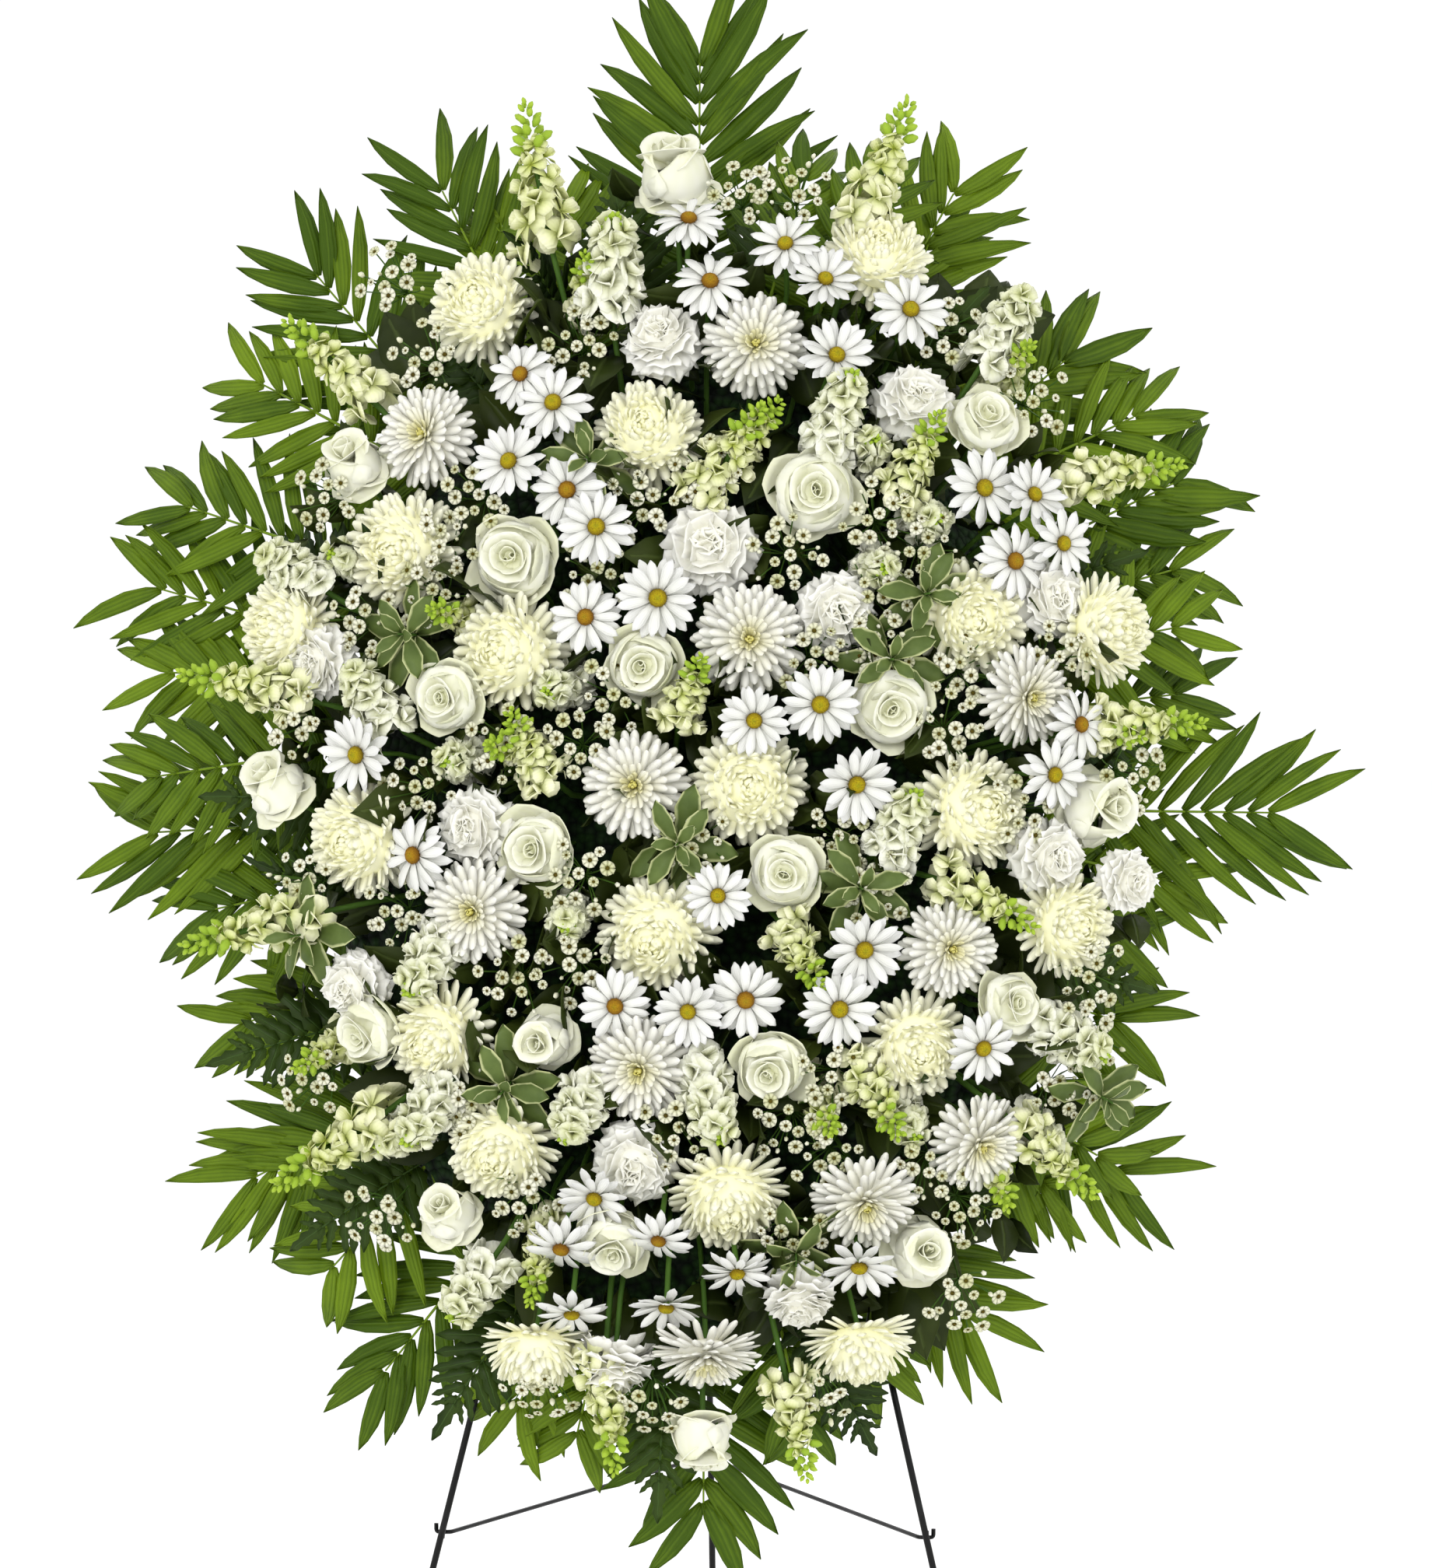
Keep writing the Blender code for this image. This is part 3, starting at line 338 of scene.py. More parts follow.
def apply_modifier(shape, kind, **settings):
    """Adds a modifier, sets it and applies it."""
    bpy.ops.object.select_all(action="DESELECT")
    shape.select_set(True)
    bpy.context.view_layer.objects.active = shape
    modifier = shape.modifiers.new(kind.title(), kind)
    for key, value in settings.items():
        setattr(modifier, key, value)
    bpy.ops.object.modifier_apply(modifier=modifier.name)
    return shape


def curl(shape, angle, start=0.0, axis="X"):
    """Bends a petal by an angle in degrees, from a share of its length to its tip. Minus is inwards."""
    if abs(angle) > 0.01:
        apply_modifier(shape, "SIMPLE_DEFORM", deform_method="BEND", deform_axis=axis,
                       angle=math.radians(angle), limits=(start, 1.0))
    return shape


def smooth(shape, finish):
    """Gives a shape its finish and smooth shading."""
    shape.data.materials.append(finish)
    shape.data.shade_smooth()
    return shape


def copy_of(shape):
    """A copy with its own mesh."""
    copy = bpy.data.objects.new(shape.name, shape.data.copy())
    bpy.context.scene.collection.objects.link(copy)
    return copy


def cut_sheet(name, across, rows):
    """A broad petal or leaf from a flat grid. Each row is (height, half its width)."""
    steps = len(rows) - 1
    sheet = add_shape(name, bpy.ops.mesh.primitive_grid_add, x_subdivisions=across, y_subdivisions=steps,
                      size=2, rotation=(math.pi / 2, 0, 0))
    bpy.ops.object.transform_apply(location=False, rotation=True, scale=False)
    mark_points(sheet, across=lambda p: p.x, along=lambda p: (p.z + 1) / 2)
    row_of = [round((p.co.z + 1) / 2 * steps) for p in sheet.data.vertices]
    with editing():
        for row, (height, half_width) in enumerate(rows):
            select_points(sheet, lambda index, place: row_of[index] == row)
            bpy.ops.transform.resize(value=(half_width, 1, 1))
            bpy.ops.transform.translate(value=(0, 0, height - (2 * row / steps - 1)))
    return sheet


def trough(sheet, depth):
    """Sets the middle of a sheet back so that its sides stand forward."""
    layer = sheet.data.attributes["across"].data
    middle = [abs(number.value) < 0.01 for number in layer]
    with editing():
        select_points(sheet, lambda index, place: middle[index])
        bpy.ops.transform.translate(value=(0, depth, 0))
    return sheet


def thicken(sheet, thickness):
    return apply_modifier(sheet, "SOLIDIFY", thickness=thickness, offset=0.0)


def draw_out(sections):
    """In edit mode, extrudes a closed shape from one (height, breadth) to the next and turns it outwards."""
    for (low, before), (high, size) in zip(sections, sections[1:]):
        bpy.ops.mesh.extrude_region_move(TRANSFORM_OT_translate={"value": (0, 0, high - low)})
        bpy.ops.transform.resize(value=(size / before, size / before, 1), center_override=(0, 0, high))
    bpy.ops.mesh.select_all(action="SELECT")
    bpy.ops.mesh.normals_make_consistent(inside=False)


QUILL_FLATNESS = 0.32


def draw_quill(name, length, half_width, fold, sections):
    """A narrow closed petal: a folded face extruded and scaled. Each section is (share of length, scale)."""
    quill = add_shape(name, bpy.ops.mesh.primitive_circle_add, vertices=4, radius=1.0, fill_type="NGON")
    with editing():
        select_points(quill, lambda index, place: abs(place.x) > 0.5)
        bpy.ops.transform.translate(value=(0, -fold, 0))
        bpy.ops.mesh.select_all(action="SELECT")
        first = sections[0][1]
        bpy.ops.transform.resize(value=(half_width * first, half_width * QUILL_FLATNESS * first, 1))
        draw_out([(share * length, size) for share, size in sections])
    mark_points(quill, across=0.0, along=lambda p: p.z / length)
    return quill


# %% [markdown]
# A flower is joined from copies, like petals set into a calyx. One tool does all the joining here, from
# petals into a flower and from flowers into a piece of the spray. Every copy has its own mesh, so no two
# pieces of the finished object share one.


# %% Tools for setting copies round and joining them
patterns = []
HERE = Matrix.Identity(4)


def join_copies(name, copies):
    """Joins copies of shapes into one. Each is (shape, matrix) or (shape, matrix, nearness to the heart)."""
    made = []
    for shape, matrix, *heart in copies:
        copy = copy_of(shape)
        copy.data.transform(matrix)
        if heart:
            values = copy.data.attributes.get("heart") or copy.data.attributes.new("heart", "FLOAT", "POINT")
            values.data.foreach_set("value", [heart[0]] * len(copy.data.vertices))
        made.append(copy)
    bpy.ops.object.select_all(action="DESELECT")
    for copy in made:
        copy.select_set(True)
    bpy.context.view_layer.objects.active = made[0]
    if len(made) > 1:
        bpy.ops.object.join()
    made[0].name = name
    return made[0]


def keep_as_pattern(shape):
    """Remembers a shape that is only copied from, to clear away at the end."""
    patterns.append(shape)
    return shape


def join_as_pattern(name, copies, used=()):
    """Joins copies into a pattern and clears away the shapes that were drawn only for it."""
    pattern = join_copies(name, copies)
    for shape in used:
        bpy.data.objects.remove(shape)
    return keep_as_pattern(pattern)


def turn_about(axis, degrees):
    return Matrix.Rotation(math.radians(degrees), 4, axis)


def ring(shape, count, tilt, radius=0.0, height=0.0, heart=0.0, size=1.0, loose=4.0, first=0.0, seed=0):
    """Places for copies set round the axis, leaning out by a tilt, each a little off its place."""
    chance = random.Random(seed * 977 + count * 31 + int(tilt))
    places = []
    for k in range(count):
        angle = first + 360 * k / count + chance.uniform(-0.25, 0.25) * loose * 2
        lean = tilt + chance.uniform(-loose, loose)
        scale = size * chance.uniform(0.94, 1.06)
        matrix = (turn_about("Z", angle) @ Matrix.Translation((0, radius, height)) @ turn_about("X", -lean)
                  @ turn_about("Z", chance.uniform(-loose, loose) * 2) @ Matrix.Scale(scale, 4))
        places.append((shape, matrix, heart + chance.uniform(-0.04, 0.04)))
    return places


# %% [markdown]
# ### Hearts
# Daisies have a button of tiny florets in the middle, and a spider chrysanthemum has a speck of one. A button
# is a squashed ball with a finish of small cells.

# %% Buttons for the hearts
def button_finish(name, rim, between, middle):
    """Tiny florets in a cell pattern, from a rim colour to a middle colour, with painted shade in the gaps
    between the florets.
    """
    finish, tree, shader, place = new_finish(name, 0.75, Specular_IOR_Level=0.15)
    cells = add_node(tree, "ShaderNodeTexVoronoi", {"Vector": place, "Scale": 900.0}).outputs["Distance"]
    ramp = tree.nodes.new("ShaderNodeValToRGB")
    ramp.color_ramp.elements[0].color = (*rim, 1.0)
    ramp.color_ramp.elements[1].color = (*middle, 1.0)
    half_way = ramp.color_ramp.elements.new(0.45)
    half_way.color = (*between, 1.0)
    tree.links.new(point_number(tree, "heart"), ramp.inputs[0])
    # Painted shade: each cell darkens to brown towards its edges, where the florets meet.
    dark = add_node(tree, "ShaderNodeClamp", {"Value": calculate(tree, "MULTIPLY", cells, 0.6)}).outputs[0]
    colour = blend_colours(tree, dark, ramp.outputs[0], (0.14, 0.07, 0.006, 1.0))
    colour_and_bump(tree, shader, colour, calculate(tree, "SUBTRACT", 1.0, cells), 0.8, 0.0012)
    return finish


def make_button(radius, height, rise, finish):
    """A squashed ball, raised to its height."""
    button = add_shape("button", bpy.ops.mesh.primitive_ico_sphere_add, subdivisions=2, radius=radius)
    mark_points(button, heart=lambda p: max(0.0, 1 - math.hypot(p.x, p.y) / radius), along=1.0, across=0.0)
    with editing():
        bpy.ops.transform.resize(value=(1, 1, rise / radius))
        bpy.ops.transform.translate(value=(0, 0, height))
    return smooth(button, finish)


GOLD_BUTTON = button_finish("golden button", (0.25, 0.175, 0.004), (0.54, 0.43, 0.006), (0.38, 0.38, 0.010))
BROWN_BUTTON = button_finish("brown button", (0.20, 0.080, 0.004), (0.45, 0.24, 0.008), (0.42, 0.30, 0.010))

# %% [markdown]
# ### Football chrysanthemum
# A ball of narrow petals. The inner ones curl tight over the heart, the outer ones open flat and then sweep
# back. One quill is drawn, and each ring gets its own length and curl.

# %% Football chrysanthemum
MUM_SECTIONS = [(0.0, 0.40), (0.30, 0.84), (0.66, 1.0), (0.91, 0.86), (1.0, 0.32)]
# count, length, half width, curl, tilt, height, nearness to the heart
FOOTBALL_RINGS = [
    (6, 0.030, 0.0032, -40, 8, 0.014, 0.46),
    (10, 0.032, 0.0037, -58, 23, 0.014, 0.36),
    (14, 0.034, 0.0041, -66, 37, 0.014, 0.27),
    (18, 0.036, 0.0044, -70, 50, 0.013, 0.19),
    (22, 0.038, 0.0046, -68, 62, 0.013, 0.12),
    (25, 0.040, 0.0046, -60, 73, 0.012, 0.06),
    (27, 0.0420, 0.0045, -48, 83, 0.012, 0.03),
    (27, 0.0425, 0.0043, -28, 90, 0.011, 0.0),
    (25, 0.0425, 0.0039, -4, 97, 0.010, -0.02),
]


def make_mum(name, rings, finish, sections, fold, loose, seed, inside):
    """A chrysanthemum from rings of curled quills, round what is inside it."""
    places = list(inside)
    quills = []
    for k, (count, length, half_width, bend, tilt, height, heart) in enumerate(rings):
        quill = smooth(curl(draw_quill(name + " quill", length, half_width, fold, sections), bend), finish)
        quills.append(quill)
        places += ring(quill, count, tilt, 0.0015, height, heart, 1.0, loose, 11.0 * k, seed + k)
    return join_as_pattern(name, places, quills)


def draw_turned(name, sides, profile, finish, tone=0.3):
    """A round closed shape: a disc drawn out from one (height, radius) of its profile to the next."""
    low, start = profile[0]
    shape = add_shape(name, bpy.ops.mesh.primitive_circle_add, vertices=sides, radius=start,
                      fill_type="NGON", location=(0, 0, low))
    bpy.ops.object.transform_apply()
    with editing():
        draw_out(profile)
    top = profile[-1][0]
    mark_points(shape, across=0.0, along=lambda p: (p.z - low) / (top - low), heart=tone)
    return smooth(shape, finish)


CUP_PROFILE = [(0.0, 0.0022), (0.004, 0.0050), (0.008, 0.0086), (0.012, 0.0095)]
mum_cup = keep_as_pattern(draw_turned("mum cup", 8, CUP_PROFILE, STEM_GREEN))
CORE_PROFILE = [(0.002, 0.012), (0.009, 0.026), (0.018, 0.031), (0.028, 0.027), (0.036, 0.018),
                (0.0405, 0.007)]
mum_core = keep_as_pattern(draw_turned("mum core", 12, CORE_PROFILE, MUM_WHITE, 0.22))
inside = [(mum_cup, HERE), (mum_core, HERE)]
football_mums = [make_mum("football mum", FOOTBALL_RINGS, MUM_WHITE, MUM_SECTIONS, 0.38, 8.5, seed, inside)
                 for seed in (3, 8)]
print("a football mum has", len(football_mums[0].data.polygons), "faces")

# %% [markdown]
# ### Spider chrysanthemum
# Longer, straighter and whiter petals than the football kind, in an open dish, with a yellow-green heart.

# %% Spider chrysanthemum
SPIDER_SECTIONS = [(0.0, 0.40), (0.30, 0.72), (0.68, 1.0), (0.91, 0.86), (0.98, 0.50), (1.0, 0.18)]
SPIDER_RINGS = [
    (7, 0.006, 0.0012, -80, 10, 0.018, 1.00),
    (12, 0.009, 0.0015, -70, 34, 0.017, 0.85),
    (16, 0.015, 0.0022, -40, 46, 0.016, 0.42),
    (19, 0.023, 0.0030, -24, 56, 0.015, 0.14),
    (21, 0.031, 0.0036, -14, 66, 0.014, 0.03),
    (23, 0.037, 0.0039, -6, 76, 0.012, 0.0),
    (24, 0.041, 0.0039, 4, 86, 0.011, 0.0),
    (22, 0.042, 0.0037, 14, 95, 0.010, 0.0),
]
speck = keep_as_pattern(make_button(0.0030, 0.0215, 0.0026, GOLD_BUTTON))
DISC_PROFILE = [(0.003, 0.010), (0.008, 0.021), (0.013, 0.024), (0.017, 0.011)]
spider_core = keep_as_pattern(draw_turned("spider core", 12, DISC_PROFILE, SPIDER_WHITE, 0.05))
inside = [(mum_cup, HERE), (speck, HERE), (spider_core, HERE)]
spider_mums = [make_mum("spider mum", SPIDER_RINGS, SPIDER_WHITE, SPIDER_SECTIONS, 0.45, 8.0, seed, inside)
               for seed in (5, 12)]
print("a spider mum has", len(spider_mums[0].data.polygons), "faces")

# %% [markdown]
# ### Daisy chrysanthemum
# Two rows of flat petals round a low button of tiny florets. The button is a squashed ball. Its florets are
# too fine to model one by one, so its finish raises them with a cell pattern, golden with a green middle.


# %% Daisy chrysanthemum
DAISY_ROWS = [(0.0, 0.0016), (0.009, 0.0035), (0.0172, 0.0043), (0.0224, 0.0031), (0.0262, 0.0005)]


def make_leaf(name, rows, bend, depth, thickness, finish):
    """A narrow sheet, bent along its length, folded along its middle and thickened."""
    return smooth(thicken(trough(curl(cut_sheet(name, 2, rows), bend), depth), thickness), finish)


def make_daisy(seed, droop, finish):
    """Two rows of petals round a button. droop bends the petals back."""
    petal = make_leaf("daisy petal", DAISY_ROWS, droop, 0.0007, 0.0003, DAISY_WHITE)
    button = make_button(0.0072, 0.0115, 0.0042, finish)
    places = ring(petal, 11, 74, 0.0052, 0.0100, 0.0, 1.0, 9.0, 0.0, seed)
    places += ring(petal, 11, 88, 0.0046, 0.0086, 0.0, 1.04, 9.0, 16.0, seed + 1)
    places += [(button, HERE), (mum_cup, Matrix.Diagonal((0.75, 0.75, 0.75, 1.0)))]
    return join_as_pattern("daisy", places, (petal, button))


daisies = [make_daisy(seed, droop, finish)
           for seed, droop, finish in ((21, 22, GOLD_BUTTON), (34, -8, GOLD_BUTTON), (47, 40, BROWN_BUTTON))]
print("a daisy has", len(daisies[0].data.polygons), "faces")

# %% [markdown]
# ### Rose
# A rose is a bud of petals wrapped round each other, then open petals whose rims roll back. Each petal is a
# sheet that is cupped across, bellied along its length and rolled at the rim.


# %% Rose
ROSE_CORNER = 0.24


def rose_petal(height, half_width, cup, belly, roll):
    """One rose petal. roll turns its rim back, cup wraps it round the axis, belly bows it inwards. A petal
    that rolls far is drawn to a point, which gives an open rose its corners."""
    corner = ROSE_CORNER if roll > 30 else 0.0
    rows = [(0.0, 0.26), (0.16, 0.52), (0.34, 0.78), (0.52, 0.95), (0.68, 1.0), (0.82, 0.95 - corner * 0.4),
            (0.93, 0.76 - corner), (1.0, 0.34 - corner)]
    sheet = cut_sheet("rose petal", 6, [(h * height, w * half_width) for h, w in rows])
    curl(sheet, roll, 0.74)
    curl(sheet, -cup, 0.0, "Z")
    curl(sheet, belly)
    return smooth(thicken(sheet, 0.0007), ROSE_WHITE)


# count, height, half width, cup, lean, foot radius, belly, roll, nearness to the heart
ROSE_RINGS = [
    (2, 0.032, 0.0062, 250, 2, 0.002, -10, 0, 0.30),
    (2, 0.034, 0.0092, 230, 3, 0.004, -12, 4, 0.24),
    (3, 0.036, 0.0118, 190, 7, 0.006, -18, 10, 0.18),
    (3, 0.038, 0.0140, 165, 14, 0.007, -27, 22, 0.13),
    (4, 0.039, 0.0162, 135, 23, 0.008, -36, 38, 0.09),
    (4, 0.040, 0.0186, 118, 32, 0.009, -46, 58, 0.06),
    (4, 0.041, 0.0204, 104, 43, 0.008, -54, 78, 0.03),
    (4, 0.040, 0.0214, 92, 55, 0.007, -60, 98, 0.0),
    (4, 0.037, 0.0212, 82, 68, 0.007, -60, 112, 0.0),
]
BUD_RINGS = [
    (2, 0.036, 0.0075, 260, 0, 0.003, -6, 0, 0.25),
    (3, 0.041, 0.0115, 200, 3, 0.005, -12, 6, 0.16),
    (3, 0.043, 0.0145, 172, 9, 0.006, -20, 24, 0.10),
    (3, 0.044, 0.0176, 150, 14, 0.006, -20, 54, 0.04),
    (4, 0.045, 0.0200, 134, 19, 0.006, -20, 92, 0.0),
]
SEPAL_ROWS = [(0.0, 0.0045), (0.0078, 0.0042), (0.0182, 0.0022), (0.026, 0.0004)]


def make_rose(name, rings, seed):
    """A rose from rings of petals, with five green sepals under it."""
    places, used = [], []
    for k, (count, height, half_width, cup, lean, foot, belly, roll, heart) in enumerate(rings):
        petal = rose_petal(height, half_width, cup, belly, roll)
        used.append(petal)
        places += ring(petal, count, lean, foot, 0.006, heart, 1.0, 6.0, 47.0 * k, seed + k)
    sepal = smooth(thicken(curl(cut_sheet("sepal", 2, SEPAL_ROWS), 60), 0.0005), STEM_GREEN)
    used.append(sepal)
    places += ring(sepal, 5, 70, 0.003, 0.004, 0.3, 1.0, 8.0)
    places.append((mum_cup, Matrix.Diagonal((0.9, 0.9, 1.0, 1.0))))
    return join_as_pattern(name, places, used)


roses = [make_rose("rose", ROSE_RINGS, 2), make_rose("rose", ROSE_RINGS, 19)]
rosebuds = [make_rose("rosebud", BUD_RINGS, 6)]
print("a rose has", len(roses[0].data.polygons), "faces")

# %% [markdown]
# ### Carnation
# A shaggy ball of fan-shaped petals with toothed, crimped edges. The crimp comes from a displacement by a
# fine cloud texture, so every ring is crimped in its own way.


# %% Carnation
def crimp(sheet, size, strength):
    """Crimps a sheet across its face with a cloud pattern."""
    texture = bpy.data.textures.new("crimp", "CLOUDS")
    texture.noise_scale = size
    group = sheet.vertex_groups.new(name="rim")
    for point in sheet.data.vertices:
        along = sheet.data.attributes["along"].data[point.index].value
        group.add([point.index], along**1.5, "REPLACE")
    apply_modifier(sheet, "DISPLACE", texture=texture, strength=strength, mid_level=0.5, vertex_group="rim")
    sheet.vertex_groups.clear()
    bpy.data.textures.remove(texture)
    return sheet


FAN_ROWS = [(0.0, 0.14), (0.42, 0.46), (0.74, 0.86), (0.90, 1.0), (1.0, 0.96)]
SMALL_FAN_ROWS = [(0.0, 0.24), (0.62, 1.0), (1.0, 0.78)]


def frilled_petal(name, height, half_width, crimping, bend, finish, across):
    """A fan with a crimped, toothed edge."""
    rows = FAN_ROWS if across > 3 else SMALL_FAN_ROWS
    sheet = cut_sheet(name, across, [(h * height, w * half_width) for h, w in rows])
    layer = sheet.data.attributes
    rim = [i for i, number in enumerate(layer["along"].data) if number.value > 0.99]
    teeth = [i for k, i in enumerate(sorted(rim, key=lambda i: layer["across"].data[i].value)) if k % 2]
    with editing():
        select_points(sheet, lambda index, place: index in teeth)
        bpy.ops.transform.translate(value=(0, 0, (-0.05 if across > 3 else 0.10) * height))
    crimp(sheet, half_width * 0.42, crimping)
    return smooth(thicken(curl(sheet, bend, 0.3), 0.0004), finish)


def make_frilled(name, rings, finish, seed, inside=(), across=4):
    """A frilled flower from rings of crimped fans."""
    places, used = list(inside), []
    for k, (count, length, half_width, bend, tilt, height, heart) in enumerate(rings):
        crimping = half_width * (1.1 if across > 3 else 0.9)
        petal = frilled_petal(name, length, half_width, crimping, bend, finish, across)
        used.append(petal)
        places += ring(petal, count, tilt, 0.001, height, heart, 1.0, 12.0, 31.0 * k, seed + k)
    return join_as_pattern(name, places, used)


# count, length, half width, bend, tilt, height, nearness to the heart
CARNATION_RINGS = [
    (6, 0.027, 0.010, -10, 8, 0.014, 0.30),
    (8, 0.029, 0.012, -6, 22, 0.014, 0.18),
    (10, 0.031, 0.014, 8, 36, 0.013, 0.10),
    (11, 0.032, 0.015, 20, 52, 0.013, 0.04),
    (11, 0.033, 0.016, 32, 68, 0.012, 0.0),
    (9, 0.033, 0.016, 48, 82, 0.011, 0.0),
]
CALYX_PROFILE = [(0.0, 0.0026), (0.006, 0.0055), (0.020, 0.0078)]
carnation_cup = keep_as_pattern(draw_turned("carnation cup", 8, CALYX_PROFILE, STEM_GREEN))
BALL_PROFILE = [(0.012, 0.007), (0.018, 0.016), (0.027, 0.018), (0.034, 0.010)]
carnation_core = keep_as_pattern(draw_turned("carnation core", 10, BALL_PROFILE, CARNATION_WHITE, 0.2))
inside = [(carnation_cup, HERE), (carnation_core, HERE)]
carnations = [make_frilled("carnation", CARNATION_RINGS, CARNATION_WHITE, seed, inside) for seed in (4, 9)]
print("a carnation has", len(carnations[0].data.polygons), "faces")

# %% [markdown]
# ### Stock, snapdragon and asters
# These are sprays of small florets, so one floret of each is made first and then set up its stem. Small
# florets get fewer points than the large flowers, since hundreds of them are seen only as texture.


# %% Florets set up a stem
GOLDEN_ANGLE = 137.5


def spike_of(name, floret, count, length, radius, lean, sizes, seed, tip=()):
    """Florets set round a stem in a spiral. Their size goes from the first of sizes to the second."""
    chance = random.Random(seed)
    places = list(tip)
    for k in range(count):
        t = k / max(count - 1, 1)
        size = sizes[0] + (sizes[1] - sizes[0]) * t
        turn = GOLDEN_ANGLE * k + chance.uniform(-14, 14)
        tip_in = lean - 34 * t + chance.uniform(-8, 8)
        matrix = (Matrix.Translation((0, 0, length * t)) @ turn_about("Z", turn) @ turn_about("X", -tip_in)
                  @ Matrix.Translation((0, 0, radius * size)) @ turn_about("Z", chance.uniform(0, 360))
                  @ Matrix.Scale(size, 4))
        places.append((floret, matrix, 0.10 + 0.35 * t + chance.uniform(-0.06, 0.06)))
    return join_as_pattern(name, places)


# %% Stock
STOCK_RINGS = [(3, 0.0120, 0.0070, 8, 14, 0.003, 0.0), (5, 0.0140, 0.0098, 30, 56, 0.002, -0.06)]
stock_floret = make_frilled("stock floret", STOCK_RINGS, STOCK_WHITE, 3, across=2)
BUD_PROFILE = [(0.0, 0.0012), (0.003, 0.0032), (0.007, 0.0030), (0.010, 0.0008)]
green_bud = keep_as_pattern(draw_turned("green bud", 5, BUD_PROFILE, BUD_GREEN, 0.5))
stock_tip = spike_of("stock tip", green_bud, 9, 0.012, 0.003, 62, (1.0, 0.7), 5)
tip_here = [(stock_tip, Matrix.Translation((0, 0, 0.070)))]
stocks = [spike_of("stock", stock_floret, 20, 0.068, 0.013, 80, (1.12, 0.86), seed, tip_here)
          for seed in (1, 4)]
print("a stock has", len(stocks[0].data.polygons), "faces")

# %% Snapdragon
SNAP_RINGS = [(3, 0.0118, 0.0060, 4, 20, 0.002, 0.34), (2, 0.0138, 0.0078, 36, 50, 0.002, 0.06),
              (3, 0.0140, 0.0080, 52, 74, 0.001, -0.04)]
snap_floret = make_frilled("snapdragon floret", SNAP_RINGS, SNAP_WHITE, 6, across=2)
snap_tip = spike_of("snapdragon tip", green_bud, 20, 0.036, 0.006, 66, (1.35, 0.6), 3)
tip_here = [(snap_tip, Matrix.Translation((0, 0, 0.072)))]
snapdragons = [spike_of("snapdragon", snap_floret, 15, 0.074, 0.011, 78, (1.30, 0.66), seed, tip_here)
               for seed in (2, 7)]
print("a snapdragon has", len(snapdragons[0].data.polygons), "faces")


# %% Asters on branched stems
def draw_stem(name, points, radius, finish, sides_step=0, smoothness=4):
    """A bent round stem between two points. Each is (place, the place it is pulled towards)."""
    stem = add_shape(name, bpy.ops.curve.primitive_bezier_curve_add)
    for end, knot in enumerate(stem.data.splines[0].bezier_points):
        place, pull = points[end]
        handles = (2 * place - pull, pull)
        knot.handle_left_type = knot.handle_right_type = "FREE"
        knot.co = place
        knot.handle_left, knot.handle_right = reversed(handles) if end else handles
    stem.data.bevel_depth = radius
    stem.data.bevel_resolution = sides_step
    stem.data.resolution_u = smoothness
    stem.data.use_fill_caps = True
    bpy.ops.object.convert(target="MESH")
    return smooth(bpy.context.active_object, finish)


ray = smooth(draw_quill("aster ray", 0.0044, 0.0022, 0.1, [(0.0, 0.62), (1.0, 0.92)]), ASTER_WHITE)
OLIVE_BUTTON = button_finish("olive button", (0.050, 0.048, 0.004), (0.095, 0.090, 0.006),
                             (0.070, 0.080, 0.008))
MIDDLE_PROFILE = [(0.0008, 0.0012), (0.0020, 0.0018), (0.0032, 0.0009)]
aster_middle = draw_turned("aster middle", 6, MIDDLE_PROFILE, OLIVE_BUTTON, 0.5)
rays = ring(ray, 8, 72, 0.0013, 0.0014, 0.0, 1.0, 5.0)
aster = join_as_pattern("aster", rays + [(aster_middle, HERE)], (ray, aster_middle))
aster_bud = keep_as_pattern(draw_turned("aster bud", 5, BUD_PROFILE, ASTER_WHITE, 0.5))
SPRIG_HEADS, SPRIG_LENGTH, SPRIG_SPREAD = 17, 0.065, 0.030


def make_aster_sprig(seed):
    """Asters on thin branches from one stem. Every fourth is still a bud."""
    chance = random.Random(seed)
    places, used = [], []
    fork = Vector((0, 0, SPRIG_LENGTH * 0.42))
    foot = Vector((0, 0, 0))
    used.append(draw_stem("branch", [(foot, fork * 0.5), (fork, fork * 0.6)], 0.0009, STEM_GREEN))
    for k in range(SPRIG_HEADS):
        angle = math.radians(GOLDEN_ANGLE * k + chance.uniform(-20, 20))
        away = SPRIG_SPREAD * math.sqrt((k + 0.4) / SPRIG_HEADS)
        rise = SPRIG_LENGTH * chance.uniform(0.86, 1.0)
        end = Vector((away * math.cos(angle), away * math.sin(angle), rise))
        axis = (end - fork).normalized().lerp(Vector((0, 0, 1)), 0.45).normalized()
        bent = [(fork, fork.lerp(end, 0.4)), (end, end - 0.012 * axis)]
        used.append(draw_stem("branch", bent, 0.0006, STEM_GREEN, 0, 2))
        face = axis.to_track_quat("Z", "Y").to_matrix().to_4x4()
        scale = chance.uniform(0.55, 1.20)
        tip = aster
        if k % 4 == 3:
            tip = aster_bud
            scale *= 0.62
        matrix = Matrix.Translation(end) @ face @ Matrix.Scale(scale, 4)
        places.append((tip, matrix, chance.uniform(0.0, 0.5)))
    return join_as_pattern("aster sprig", places + [(branch, HERE) for branch in used], used)


aster_sprigs = [make_aster_sprig(seed) for seed in (1, 6, 14)]
print("an aster sprig has", len(aster_sprigs[0].data.polygons), "faces")

# %% [markdown]
# ## Leaves
# Four kinds of greenery fill the spray. Leathery ferns and dark broad leaves cover the foam, pale-edged
# sprigs come up between the flowers, and palm fronds make the outline. The ferns and broad leaves are
# coloured darker than their own green, as painted shade for the gaps they fill.

